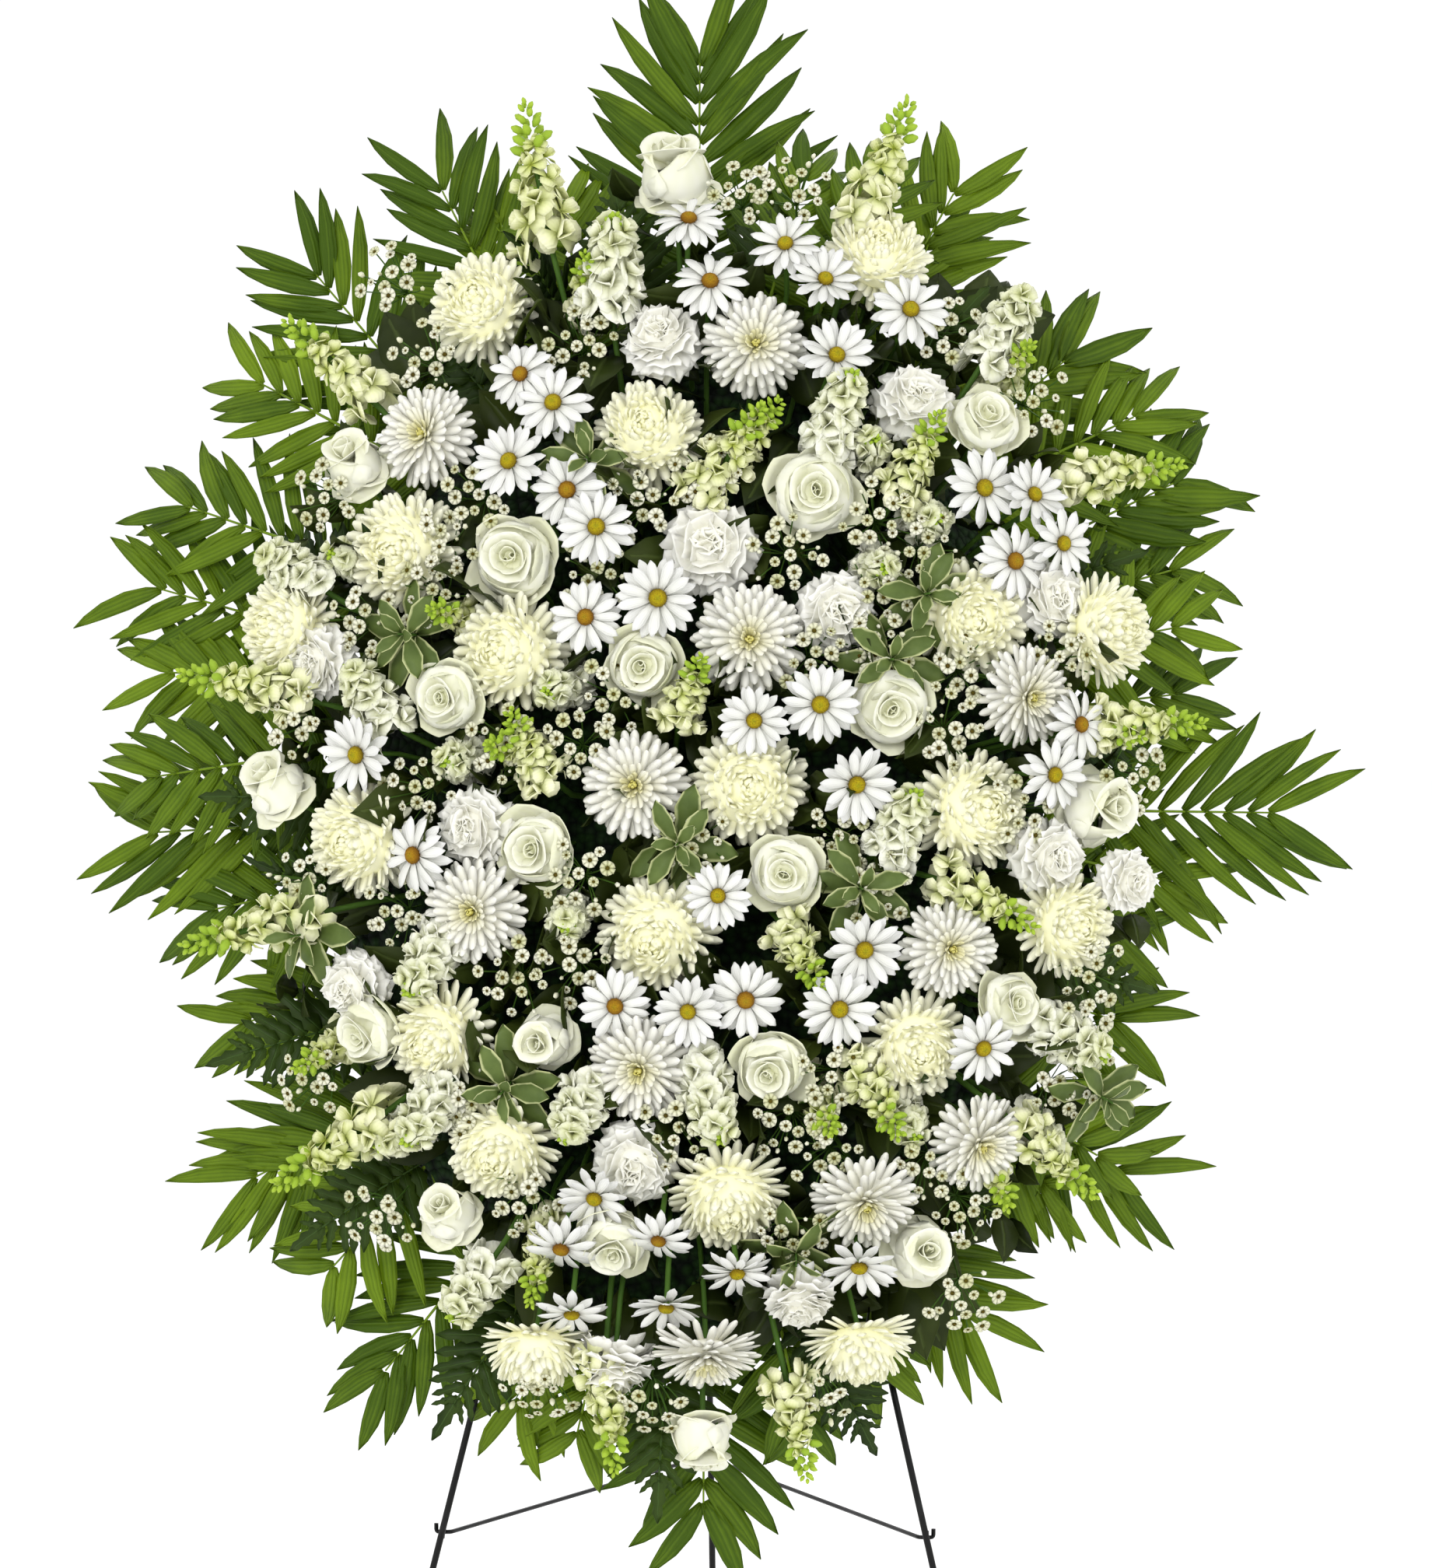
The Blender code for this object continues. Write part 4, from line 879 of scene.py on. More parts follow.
# %% A leaf with a cream rim
def pale_edged_finish():
    """An olive leaf with a pale grey-green flush and a cream rim that wanders in and out."""
    finish, tree, shader, place = new_finish("pale-edged leaf", 0.45, Specular_IOR_Level=0.2)
    cloud = clouds(tree, place, 60.0, 3.0)
    olive = blend_colours(tree, cloud, (0.045, 0.078, 0.014, 1.0), (0.16, 0.22, 0.055, 1.0))
    side = calculate(tree, "ABSOLUTE", point_number(tree, "across"))
    wander = calculate(tree, "MULTIPLY_ADD", cloud, 0.5, -0.25)
    rim = stretch(tree, calculate(tree, "ADD", side, wander), 0.74, 0.92)
    colour = blend_colours(tree, rim, olive, (0.54, 0.58, 0.28, 1.0))
    colour_and_bump(tree, shader, colour, cloud, 0.3, 0.0008)
    return finish


PALE_EDGED = pale_edged_finish()
print("mixed the pale-edged leaf")

# %% Fern, broad leaf and pale-edged sprig
PINNA_ROWS = [(0.0, 0.0030), (0.010, 0.0085), (0.016, 0.0050), (0.024, 0.0072), (0.030, 0.0038),
              (0.038, 0.0046), (0.048, 0.0006)]
pinna = make_leaf("pinna", PINNA_ROWS, 24, 0.0012, 0.0004, FERN_GREEN)
fern_places = []
chance = random.Random(71)
for pair in range(9):
    t = pair / 8
    size = 0.40 + 0.75 * math.sin(math.pi * min(1.0, 0.30 + 0.66 * t))
    for side in (-1, 1):
        lean = side * (74 - 34 * t) + chance.uniform(-5, 5)
        matrix = (Matrix.Translation((side * 0.001, 0, 0.035 + 0.105 * t)) @ turn_about("Y", lean)
                  @ turn_about("X", chance.uniform(-10, 14)) @ Matrix.Scale(size, 4))
        fern_places.append((pinna, matrix, chance.uniform(-0.10, 0.12)))
fern_places.append((pinna, Matrix.Translation((0, 0, 0.138)), 0.0))
along_rachis = [Vector((0, 0.0008, z)) for z in (0, 0.05, 0.145, 0.10)]
rachis = draw_stem("rachis", [along_rachis[:2], along_rachis[2:]], 0.0011, FERN_GREEN)
fern = curl(join_as_pattern("fern", fern_places + [(rachis, HERE)], (pinna, rachis)), 34)
LEAF_ROWS = [(0.0, 0.0016), (0.012, 0.0150), (0.030, 0.0215), (0.048, 0.0170), (0.062, 0.0075),
             (0.072, 0.0006)]
broad_leaf = keep_as_pattern(make_leaf("broad leaf", LEAF_ROWS, 42, 0.003, 0.0005, SALAL_GREEN))
SMALL_ROWS = [(0.0, 0.0014), (0.012, 0.0066), (0.028, 0.0108), (0.041, 0.0074), (0.049, 0.0010)]
small_leaf = make_leaf("small leaf", SMALL_ROWS, 46, 0.0016, 0.0004, PALE_EDGED)
twig = draw_turned("twig", 6, [(0.0, 0.0013), (0.05, 0.0009)], STEM_GREEN)
leaves = ring(small_leaf, 5, 72, 0.001, 0.022, 0.1, 1.0, 16.0, 0.0, 1)
leaves += ring(small_leaf, 4, 52, 0.001, 0.036, 0.3, 0.8, 16.0, 30.0, 2)
leaves += ring(small_leaf, 3, 26, 0.001, 0.044, 0.5, 0.55, 14.0, 10.0, 3)
pale_sprig = join_as_pattern("pale-edged sprig", leaves + [(twig, HERE)], (small_leaf, twig))
print("a fern has", len(fern.data.polygons), "faces, a broad leaf", len(broad_leaf.data.polygons))

# %% Palm leaflets and frond
LEAFLET_LENGTH, LEAFLET_HALF_WIDTH = 0.1, 0.01
leaflet_rows = [(0.0, 0.34), (0.14, 0.76), (0.36, 1.0), (0.62, 0.88), (0.84, 0.50), (1.0, 0.03)]
flat_leaflet = [(LEAFLET_LENGTH * h, LEAFLET_HALF_WIDTH * w) for h, w in leaflet_rows]
leaflets = []
for sweep in (-15, 11):
    leaflet = curl(curl(cut_sheet("palm leaflet", 2, flat_leaflet), sweep, 0.0, "Y"), 16)
    leaflets.append(keep_as_pattern(smooth(thicken(trough(leaflet, 0.0014), 0.0005), PALM_GREEN)))


PAIR_GAP, STALK_BARE = 0.0185, 0.34


def make_frond(name, length, longest, bend, seed, half_width):
    """A palm frond growing up from the origin and facing -Y, with a leaflet on each side at every pair."""
    chance = random.Random(seed)
    pairs = round(length * (1 - STALK_BARE) / PAIR_GAP) + 1
    pitch = length * (1 - STALK_BARE) / (pairs - 1)
    shade = chance.uniform(-0.28, 0.20)
    tip_lean = chance.uniform(24, 34)
    places = []
    for pair in range(pairs):
        t = pair / (pairs - 1)
        reach = longest * (0.66 + 0.34 * math.sin(math.pi * min(1.0, 0.22 + 0.66 * t)))
        for side in (-1, 1):
            lean = side * (72 + (tip_lean - 72) * t**1.2 + chance.uniform(-4, 4))
            along = length * STALK_BARE + pitch * pair + chance.uniform(-0.002, 0.002)
            width = half_width * chance.uniform(0.86, 1.06)
            matrix = (Matrix.Translation((side * 0.001, 0, along)) @ turn_about("Y", lean)
                      @ turn_about("X", chance.uniform(-10, 4))
                      @ turn_about("Z", side * chance.uniform(2, 22))
                      @ Matrix.Diagonal((width / LEAFLET_HALF_WIDTH, 1.0,
                                         reach * chance.uniform(0.90, 1.04) / LEAFLET_LENGTH, 1.0)))
            swept = leaflets[0 if (side > 0) == (chance.random() < 0.75) else 1]
            places.append((swept, matrix, shade + chance.uniform(-0.16, 0.22)))
    profile = [(0.0, 0.0024), (0.3 * length, 0.0020), (0.7 * length, 0.0014), (length, 0.0008)]
    stalk = draw_turned("stalk", 5, profile, PALM_GREEN, 0.25)
    frond = join_copies(name, places + [(stalk, HERE)])
    bpy.data.objects.remove(stalk)
    return curl(frond, bend, STALK_BARE)


# %% [markdown]
# ## Planting the spray
# A florist turns each flower so that the spray looks full from the front and the sides. Here a flower is
# given its place on the chart in centimetres, and unless it is told otherwise it turns further out the
# nearer it is to the edge. Its stem leaves the foam squarely and comes into the flower along its own axis.


# %% Tools for planting
def look(right, up):
    """The way a flower faces when it is turned so many degrees right and up from straight ahead."""
    return (turn_about("Z", right) @ turn_about("X", -up)).to_3x3() @ Vector((0, -1, 0))


def usual_look(x, height):
    """How far right and up a flower at this place in centimetres turns."""
    right = math.copysign(52 * min(1.2, abs(x) / 36) ** 1.6, x)
    up = 62 * min(1.1, height / 53) ** 1.8 if height > 0 else -78 * min(1.1, -height / 49) ** 2.4
    return right, up


def place_facing(point, axis, spin=0.0, size=1.0):
    """A matrix that stands a pattern on a point with its top towards an axis."""
    turn = axis.to_track_quat("Z", "Y").to_matrix().to_4x4()
    return Matrix.Translation(point) @ turn @ turn_about("Z", spin) @ Matrix.Scale(size, 4)


# how far out from the easel the stems come together in the foam
STEM_ROOT = 0.062


def stem_to(x, height, head, axis, radius=0.0022):
    """A stem from the foam to the foot of a flower."""
    foot = on_easel(0.60 * (CHART_X + x), GREENS_MIDDLE + 0.66 * (height - GREENS_MIDDLE), STEM_ROOT)
    out = (on_chart(x * 1.4, height * 1.2, 0.45) - foot).normalized()
    reach = (head - foot).length * 0.4
    return draw_stem("stem", [(foot, foot + reach * out), (head, head - reach * axis)], radius, STEM_GREEN, 1)


def quarter(x, height):
    return ("upper" if height >= 0 else "lower") + ("_left" if x < 0 else "_right")


planted = []


def join_pieces(shape_name, ending, groups):
    """Joins each group of copies into a piece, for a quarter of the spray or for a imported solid."""
    for (node, side), copies in groups.items():
        piece = join_copies(node + ending if node else f"{shape_name}_{side}", copies)
        piece.data.name = piece.name
        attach(piece, "front_frame")
        if node:
            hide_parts(node)
    for spare in [o for o in bpy.data.objects if o.name.startswith("stem")]:
        bpy.data.objects.remove(spare)


def filled_in(x, height, size=1.0, right=None, up=None, node=""):
    """A flower's row, with the usual values for what it leaves out."""
    return x, height, size, right, up, node


def plant(shape_name, patterns_used, flowers, depth, seed, width, forward=0.0, head=None, stems=True):
    """Plants one kind of flower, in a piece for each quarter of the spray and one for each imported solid.
    A flower is (x, height, size, right, up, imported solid), and all after height may be left out. depth is
    from its face down to its foot, head how much of that is flower, and width its breadth in centimetres."""
    chance = random.Random(seed)
    groups = {}
    for number, (x, height, size, right, up, node) in enumerate(filled_in(*flower) for flower in flowers):
        usual_right, usual_up = usual_look(x, height)
        if right is None:
            right = usual_right + chance.uniform(-9, 9)
        if up is None:
            up = usual_up + chance.uniform(-8, 8)
        axis = look(right, up)
        half_head = (depth if head is None else head) * size / 2
        middle = on_chart(x / 100, height / 100, dome(x / 100, height / 100) + forward - half_head)
        foot = middle + (half_head - depth * size) * axis
        pattern = patterns_used[number % len(patterns_used)]
        copies = [(pattern, place_facing(foot, axis, chance.uniform(0, 360), size))]
        if stems:
            copies.append((stem_to(x / 100, height / 100, foot + 0.001 * axis, axis), HERE))
        groups.setdefault((node, quarter(x, height)), []).extend(copies)
        planted.append((x, height, size * width / 2))
    join_pieces(shape_name, "_petals", groups)
    print(f"planted {len(flowers)} {shape_name}")


# %% [markdown]
# ### The large flowers
# Chrysanthemums and roses are placed first, since they are the heaviest and everything else fills between
# them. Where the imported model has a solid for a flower, the flower made here stands for that solid.

# %% Plant the football chrysanthemums
FOOTBALL_MUMS = [
    (-18.0, 38.0, 1.06, -18, 22, "football_mum_upper_left"),
    (14.0, 42.0, 1.02, 12, 40, "football_mum_upper_right"),
    (-34.0, 12.0, 1.04, -45, 6, "football_mum_left"),
    (32.5, 12.0, 1.06, 52, 6, "football_mum_right"),
    (3.7, -0.7, 1.08, 3, 0, "football_mum_centre"),
    (-16.6, -30.3, 1.06, -18, -22, "football_mum_lower_left"),
    (17.3, -21.8, 1.0, 18, -14, "football_mum_lower_right"),
    (-4.5, 27.9, 1.04), (-24.5, 18.2, 1.12), (-15.9, 10.1, 1.12), (21.6, 12.9, 1.08),
    (22.0, -2.5, 1.10), (-28.1, -5.2, 1.06), (-3.9, -12.9, 1.10), (-21.7, -21.4, 1.04),
    (2.0, -34.4, 1.08), (29.5, -11.7, 0.98), (-13.7, -47.0, 1.0, None, -66),
    (12.7, -46.4, 1.0, None, -66),
]
plant("football_mums", football_mums, FOOTBALL_MUMS, 0.045, 5, 8.2)

# %% Plant the spider chrysanthemums
SPIDER_MUMS = [
    (4.2, 34.8, 1.0, 4, 14, "spider_mum_upper"),
    (-5.2, -23.6, 1.0, -6, -10, "spider_mum_lower"),
    (-22.5, 27.6, 0.98), (3.7, 11.2, 1.04), (-5.6, -0.6, 1.02), (-18.7, -10.9, 0.98),
    (19.9, -13.7, 0.92), (13.1, -34.4, 0.98), (0.2, -47.0, 1.0, None, -60), (26.1, 6.6, 0.94),
    (22.3, -29.6, 0.94),
]
plant("spider_mums", spider_mums, SPIDER_MUMS, 0.030, 6, 8.4, 0.002)

# %% Plant the roses
ROSES = [
    (-15.5, 17.6, 0.84, -10, 8, "rose_upper_left"),
    (9.0, 23.0, 0.84, 8, 8, "rose_upper_right"),
    (-4.9, 9.0, 0.72), (15.1, 5.7, 0.77), (-13.8, -5.8, 0.74), (6.5, -7.7, 0.70), (5.4, -23.7, 0.72),
    (25.0, -18.1, 0.64, None, 14), (-7.4, -38.2, 0.70), (-21.0, 6.4, 0.68), (-27.6, -20.8, 0.70),
    (22.8, 29.0, 0.70, 18, 34),
]
ROSEBUDS = [
    (-2.4, 49.4, 0.86, -4, 62, "rose_top"),
    (-35.2, -0.2, 0.70, -46, 44, "rose_left"),
    (32.4, -2.3, 0.80, 44, 4, "rose_right"),
    (-0.1, -54.6, 0.68, 0, -66, "rose_bottom"),
    (-28.6, 25.8, 0.68, -34, 44), (-13.3, -21.5, 0.60), (-21.1, -35.0, 0.62, -20, 34),
    (18.0, -38.2, 0.68, 20, 12),
]
plant("roses", roses, ROSES, 0.046, 7, 7.6, 0.004)
plant("rosebuds", rosebuds, ROSEBUDS, 0.050, 8, 6.0, 0.004)

# %% Plant the carnations
CARNATIONS = [
    (10.8, 13.4, 0.92, 10, 5, "carnation_right"),
    (-5.6, -31.4, 0.98, -4, -18, "carnation_lower"),
    (-3.5, 35.3, 0.94), (16.9, 30.3, 0.96), (0.5, 18.6, 1.12), (28.0, 14.5, 0.90), (-31.1, 9.1, 0.86),
    (-18.7, -4.1, 0.92), (28.0, -6.3, 0.90), (-28.5, -17.2, 0.84), (7.8, -42.3, 0.84),
    (-7.2, -48.0, 0.90), (34.3, -8.2, 0.74),
]
plant("carnations", carnations, CARNATIONS, 0.044, 9, 6.2, -0.002)

# %% [markdown]
# ### Daisies
# Daisies stand a little in front of the larger flowers. Those that the imported model holds as branched
# sprays are joined into one piece for each spray and quarter, so a spray that reaches into two quarters
# becomes two pieces.

# %% Plant the daisies
DAISY_SPRAYS = {
    "daisy_spray_upper_left": [(-12.0, 30.0), (-15.5, 25.3), (-10.9, 23.1)],
    "daisy_spray_centre": [(9.4, 6.0), (12.2, -0.4)],
    "daisy_spray_lower": [(3.4, -17.8), (10.9, -18.5), (12.9, -13.7)],
}
DAISIES = [(x, height, 1.0, None, None, node) for node, heads in DAISY_SPRAYS.items() for x, height in heads]
DAISIES += [
    (-1.2, 44.5, 0.96), (6.6, 42.6, 0.92), (9.7, 39.8, 0.90), (0.5, 39.6), (16.5, 37.4), (10.6, 33.8, 0.96),
    (-14.6, 32.3, 0.92), (-8.6, 20.1), (-3.7, 14.5, 1.04), (-9.4, 12.9, 0.96), (22.3, 23.3, 1.02),
    (26.3, 22.7, 0.90), (24.8, 17.5), (28.6, 18.9, 0.90), (4.1, 4.7, 0.90), (30.0, 4.4, 0.94),
    (28.0, 0.4, 0.92), (-27.8, 1.8, 1.02), (-23.2, -6.3), (1.2, -9.5, 0.86), (-1.2, -18.8, 0.90),
    (-7.1, -18.4, 0.94), (22.4, -21.6, 0.92), (-8.8, -33.9, 0.90), (-11.5, -37.9, 0.96),
    (-10.7, -43.2, 0.90), (12.6, -39.2, 0.96), (-3.6, -37.2, 0.86), (2.7, -39.8, 0.88), (-3.0, -42.6, 0.90),
]
plant("daisies", daisies, DAISIES, 0.012, 10, 5.2, 0.003)

# %% [markdown]
# ### Spikes
# Stock and snapdragons are given by the foot and the tip of their spike. They lean along the surface of the
# spray, with the tip a little lower than the flowers about them, so that the spike is seen from its side.


# %% Plant the spikes
# how far the foot of a spike stands below the faces of the flowers about it
SPIKE_SUNK = 0.026


def plant_spikes(shape_name, patterns_used, spikes, length, seed):
    """Plants spikes. Each is (foot x, foot height, tip x, tip height, how far out its tip stands), and the
    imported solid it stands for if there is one."""
    chance = random.Random(seed)
    groups = {}
    for number, (x, height, tip_x, tip_height, rise, *nodes) in enumerate(spikes):
        node = nodes[0] if nodes else ""
        foot = on_chart(x / 100, height / 100, dome(x / 100, height / 100) - SPIKE_SUNK)
        tip = on_chart(tip_x / 100, tip_height / 100, dome(x / 100, height / 100) - SPIKE_SUNK + rise / 100)
        axis = (tip - foot).normalized()
        size = (tip - foot).length / length
        width = min(1.15, max(0.85, size))
        matrix = place_facing(foot, axis, chance.uniform(0, 360)) @ Matrix.Diagonal((width, width, size, 1))
        pattern = patterns_used[number % len(patterns_used)]
        stem = stem_to(x / 100, height / 100, foot + 0.6 * (tip - foot), axis, 0.0025)
        copies = [(pattern, matrix), (stem, HERE)]
        groups.setdefault((node, quarter(x, height)), []).extend(copies)
        for share in (0.1, 0.5, 0.9):
            planted.append((x + share * (tip_x - x), height + share * (tip_height - height), 2.4))
    join_pieces(shape_name, "_florets", groups)
    print(f"planted {len(spikes)} {shape_name}")


STOCKS = [
    (-7.5, 36.5, -7.2, 45.0, 1.5, "stock_upper"),
    (9.6, 25.9, 12.0, 32.6, 2.0), (22.2, 33.0, 26.0, 39.0, 0.5), (-30.6, 15.0, -35.8, 18.2, 0.5),
    (-25.0, 3.6, -28.6, 9.0, 1.5), (14.5, -6.6, 17.2, -1.0, 2.0), (-20.6, -12.6, -24.0, -17.6, 1.5),
    (-9.0, -24.6, -11.4, -29.4, 1.5), (-0.6, -22.6, 1.4, -29.4, 1.5), (26.8, -19.6, 32.4, -22.4, 0.5),
    (-20.4, -24.6, -24.2, -29.8, 1.0), (-16.6, -38.8, -20.6, -44.0, 0.0),
]
SNAPDRAGONS = [
    (-12.4, 42.5, -14.2, 53.6, 2.0, "snapdragon_upper_left"),
    (31.0, 4.3, 39.8, 4.6, 2.0, "snapdragon_right"),
    (12.5, 44.0, 16.3, 53.8, 0.0), (-26.0, 30.0, -33.3, 36.5, 0.0), (-0.5, 22.5, 4.6, 29.7, 3.0),
    (15.4, 22.4, 18.9, 29.2, 2.5), (29.0, 24.0, 38.0, 25.2, 0.0), (-32.0, 6.5, -42.0, 8.2, 0.0),
    (-31.4, -11.0, -41.8, -13.8, 0.0), (-12.6, -0.4, -15.6, 5.2, 3.0), (6.4, -11.6, 9.4, -16.8, 2.5),
    (18.6, -7.6, 26.4, -11.8, 1.5), (-25.0, -27.0, -34.5, -33.1, 0.0), (24.8, -27.4, 31.4, -33.4, 0.0),
    (-8.3, -46.8, -7.2, -56.2, 0.0), (6.6, -48.2, 8.4, -56.6, 0.0), (12.4, -23.0, 15.8, -28.8, 2.5),
    (-2.2, 4.2, -0.2, 9.6, 3.5), (1.8, 25.4, 6.0, 30.2, 2.5),
]
plant_spikes("stocks", stocks, STOCKS, 0.085, 11)
plant_spikes("snapdragons", snapdragons, SNAPDRAGONS, 0.108, 12)

# %% Plant the spikes that point at the viewer
STOCK_HEADS = [(-11.2, -12.0), (-16.2, 2.4), (13.6, 27.0), (-31.4, -22.8), (28.4, -30.2), (-20.6, 13.2),
               (18.6, 20.8), (-13.6, -40.4), (14.4, 16.8), (25.2, 33.6), (-20.6, 1.2), (9.8, -27.4),
               (-12.4, 7.0), (-9.4, 40.2), (-29.6, 17.8), (24.0, -32.8), (-26.0, -29.8), (33.4, 3.6),
               (17.0, -28.6)]
HEAD_PLACES = [(x, height, 0.74) for x, height in STOCK_HEADS]
plant("stock_heads", [stocks[0], snapdragons[0]], HEAD_PLACES, 0.085, 15, 5.0, -0.004, 0.02)

# %% Plant the asters
ASTERS = [
    (-25, 40), (-10, 35), (19, 36.6), (-21.3, 19), (14, 20.8), (-7.4, 6.3), (19.8, 3.8),
    (-10, -8.2), (-32.6, -8.8), (-16.2, 2.5), (7.1, -27.8), (10.3, -31), (-26.3, -36), (21.2, -42.4),
    (-13.7, -50.4), (9, -50.4), (-18.4, 22.6), (-21.8, 14.6), (0.4, 24.2), (6.6, 18.2), (17.6, 18.6),
    (-27.6, 12.6), (-30.6, 22.8), (26.4, 30.6), (21.0, 8.6), (8.4, 9.6), (-8.6, 16.4), (13.6, 10.4),
    (-10.2, 2.4), (-0.8, -5.2), (14.0, -8.6), (25.2, -2.6), (-23.0, -1.2), (-10.4, -15.4), (10.6, -24.4),
    (-15.4, -16.4), (-19.0, -27.4), (-2.6, -28.8), (6.8, -37.4), (-14.6, -34.4), (18.6, -31.4), (31.0, -15.4),
    (-33.2, 4.4), (34.4, 0.6), (7.4, 47.4), (-22.4, 33.6), (28.4, 9.4), (-32.0, -24.6),
    (31.0, -20.8), (-4.4, -51.4), (13.6, 14.8), (-5.0, 22.0),
]


def half_turned(x, height):
    """Asters keep their open side nearer to the viewer than the large flowers do."""
    right, up = usual_look(x, height)
    return 0.55 * right, 0.5 * up


ASTER_PLACES = [(x, height, 1.0, *half_turned(x, height)) for x, height in ASTERS]
plant("asters", aster_sprigs, ASTER_PLACES, 0.064, 13, 4.8, -0.010, 0.006, False)

# %% Fill the gaps that are left with asters
gap_places = []
for clear_by in (2.6, 2.0, 1.5):
    for row in range(54):
        for column in range(38):
            x, height = -37.0 + 2.0 * column, -53.0 + 2.0 * row
            if (x / 35) ** 2 + (height / 49) ** 2 > 1:
                continue
            if min(math.hypot(x - a, height - b) - radius for a, b, radius in planted) > clear_by:
                gap_places.append((x, height, 0.92, *half_turned(x, height)))
                planted.append((x, height, 2.2))
plant("small_asters", aster_sprigs, gap_places, 0.064, 14, 4.4, -0.016, 0.006, False)

# %% [markdown]
# ## Greens
# The foam is hidden by leaves before any flower goes in. The bed is a low dome of moss and clipped foliage,
# roughened with a cloud texture, and the ferns and broad leaves stand out of it on all sides.


# %% The bed of clipped foliage
def bed_finish_with_painted_shade():
    """Clipped foliage in painted shade: small cells of very dark greens that stand for the shade inside the
    spray, nearly black at the cell edges as painted shade in the gaps between the leaves.
    """
    finish, tree, shader, place = new_finish("clipped foliage", 0.7, Specular_IOR_Level=0.2)
    cells = add_node(tree, "ShaderNodeTexVoronoi", {"Vector": place, "Scale": 130.0}).outputs["Distance"]
    cloud = clouds(tree, place, 30.0, 5.0)
    # Painted shade: the greens are much darker than lit foliage, and the cell edges go nearly black.
    green = blend_colours(tree, cloud, (0.004, 0.016, 0.003, 1.0), (0.020, 0.060, 0.010, 1.0))
    colour = blend_colours(tree, stretch(tree, cells, 0.25, 0.75), green, (0.002, 0.006, 0.002, 1.0))
    colour_and_bump(tree, shader, colour, calculate(tree, "SUBTRACT", 1.0, cells), 1.0, 0.006)
    return finish


BED_HALF_SIZE = (0.285, 0.078, 0.425)
BED_OUT = 0.053
bed = add_shape("clipped_foliage", bpy.ops.mesh.primitive_ico_sphere_add, subdivisions=5, radius=1.0)
bed.data.transform(Matrix.Diagonal((*BED_HALF_SIZE, 1)))
with editing():
    bpy.ops.mesh.select_all(action="SELECT")
    bpy.ops.mesh.bisect(plane_co=(0, 0.004, 0), plane_no=(0, 1, 0), use_fill=True, clear_outer=True)
lumps = bpy.data.textures.new("foliage lumps", "CLOUDS")
lumps.noise_scale = 0.03
front = bed.vertex_groups.new(name="front")
front.add([point.index for point in bed.data.vertices if point.co.y < 0.0], 1.0, "REPLACE")
apply_modifier(bed, "DISPLACE", texture=lumps, strength=0.016, mid_level=0.5, vertex_group="front")
frame_turn = Matrix((Vector((1, 0, 0)), -OUT_FRAME, UP_FRAME)).transposed().to_4x4()
bed.data.transform(Matrix.Translation(on_easel(0, GREENS_MIDDLE, BED_OUT)) @ frame_turn)
smooth(bed, bed_finish_with_painted_shade())
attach(bed, "front_frame")
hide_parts("greens_bed")
print("the bed of foliage has", len(bed.data.polygons), "faces")


# %% Set leaves out of the bed
def grow(shape, places, name):
    """Joins leaves, each (matrix, how light it is), into one piece of greens."""
    piece = join_copies(name, [(shape, matrix, tone) for matrix, tone in places])
    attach(piece, "front_frame")


def leaf_place(x, height, out, right, up, spin, size):
    """A leaf growing from a place in metres towards the way it looks."""
    return place_facing(on_chart(x, height, out), look(right, up), spin, size)


leaf_chance = random.Random(29)
fern_sets, leaf_sets = {}, {}
for row in range(13):
    for column in range(9):
        across = -0.30 + 0.075 * column + leaf_chance.uniform(-0.02, 0.02) + (0.035 if row % 2 else 0.0)
        height = -0.50 + 0.083 * row + leaf_chance.uniform(-0.02, 0.02)
        inside = (across / 0.36) ** 2 + (height / 0.52) ** 2
        if inside > 0.84:
            continue
        right, up = usual_look(100 * across, 100 * height)
        out = dome(across, height)
        tone = leaf_chance.uniform(-0.20, 0.25)
        side = quarter(across, height)
        if (row + 2 * column) % 5 == 0:
            spot = leaf_place(across * 0.86, -0.04 + (height + 0.04) * 0.86, out - 0.125,
                              right * 1.25 + leaf_chance.uniform(-22, 22),
                              up * 1.2 + leaf_chance.uniform(-22, 22), leaf_chance.uniform(0, 360),
                              0.66 + 0.14 * inside)
            fern_sets.setdefault(side, []).append((spot, tone))
        at_edge = inside > 0.62
        swing = 34 if at_edge else 60
        for _ in range(8 if at_edge else 7):
            spin = leaf_chance.uniform(0, 360)
            depth = leaf_chance.uniform(0.044, 0.080) + (0.030 if at_edge else 0.0)
            size = leaf_chance.uniform(0.62, 0.95) * (0.66 if at_edge else 1.0)
            spot = leaf_place(across + leaf_chance.uniform(-0.03, 0.03),
                              height + leaf_chance.uniform(-0.03, 0.03), out - depth,
                              right * 0.8 + leaf_chance.uniform(-swing, swing),
                              up * 0.8 + leaf_chance.uniform(-swing, swing), spin, size)
            leaf_sets.setdefault(side, []).append((spot, tone + leaf_chance.uniform(-0.1, 0.2)))
for side, places in fern_sets.items():
    grow(fern, places, "ferns_" + side)
for side, places in leaf_sets.items():
    grow(broad_leaf, places, "broad_leaves_" + side)
print("set", sum(map(len, fern_sets.values())), "ferns")
print("set", sum(map(len, leaf_sets.values())), "broad leaves")

# %% [markdown]
# The rim of the spray is clothed too. Ferns and leaves lie nearly flat there, pointing away from the middle,
# some in front of the palm fronds and some behind them.

# %% Clothe the rim
RIM_HALF_WIDTH, RIM_HALF_HEIGHT = 0.25, 0.385
RIM_PLACES = 30
# the one fern that would reach past its neighbours is cut to this share of its length
CLIPPED_FERN, CLIPPED_TO = 11, 0.62


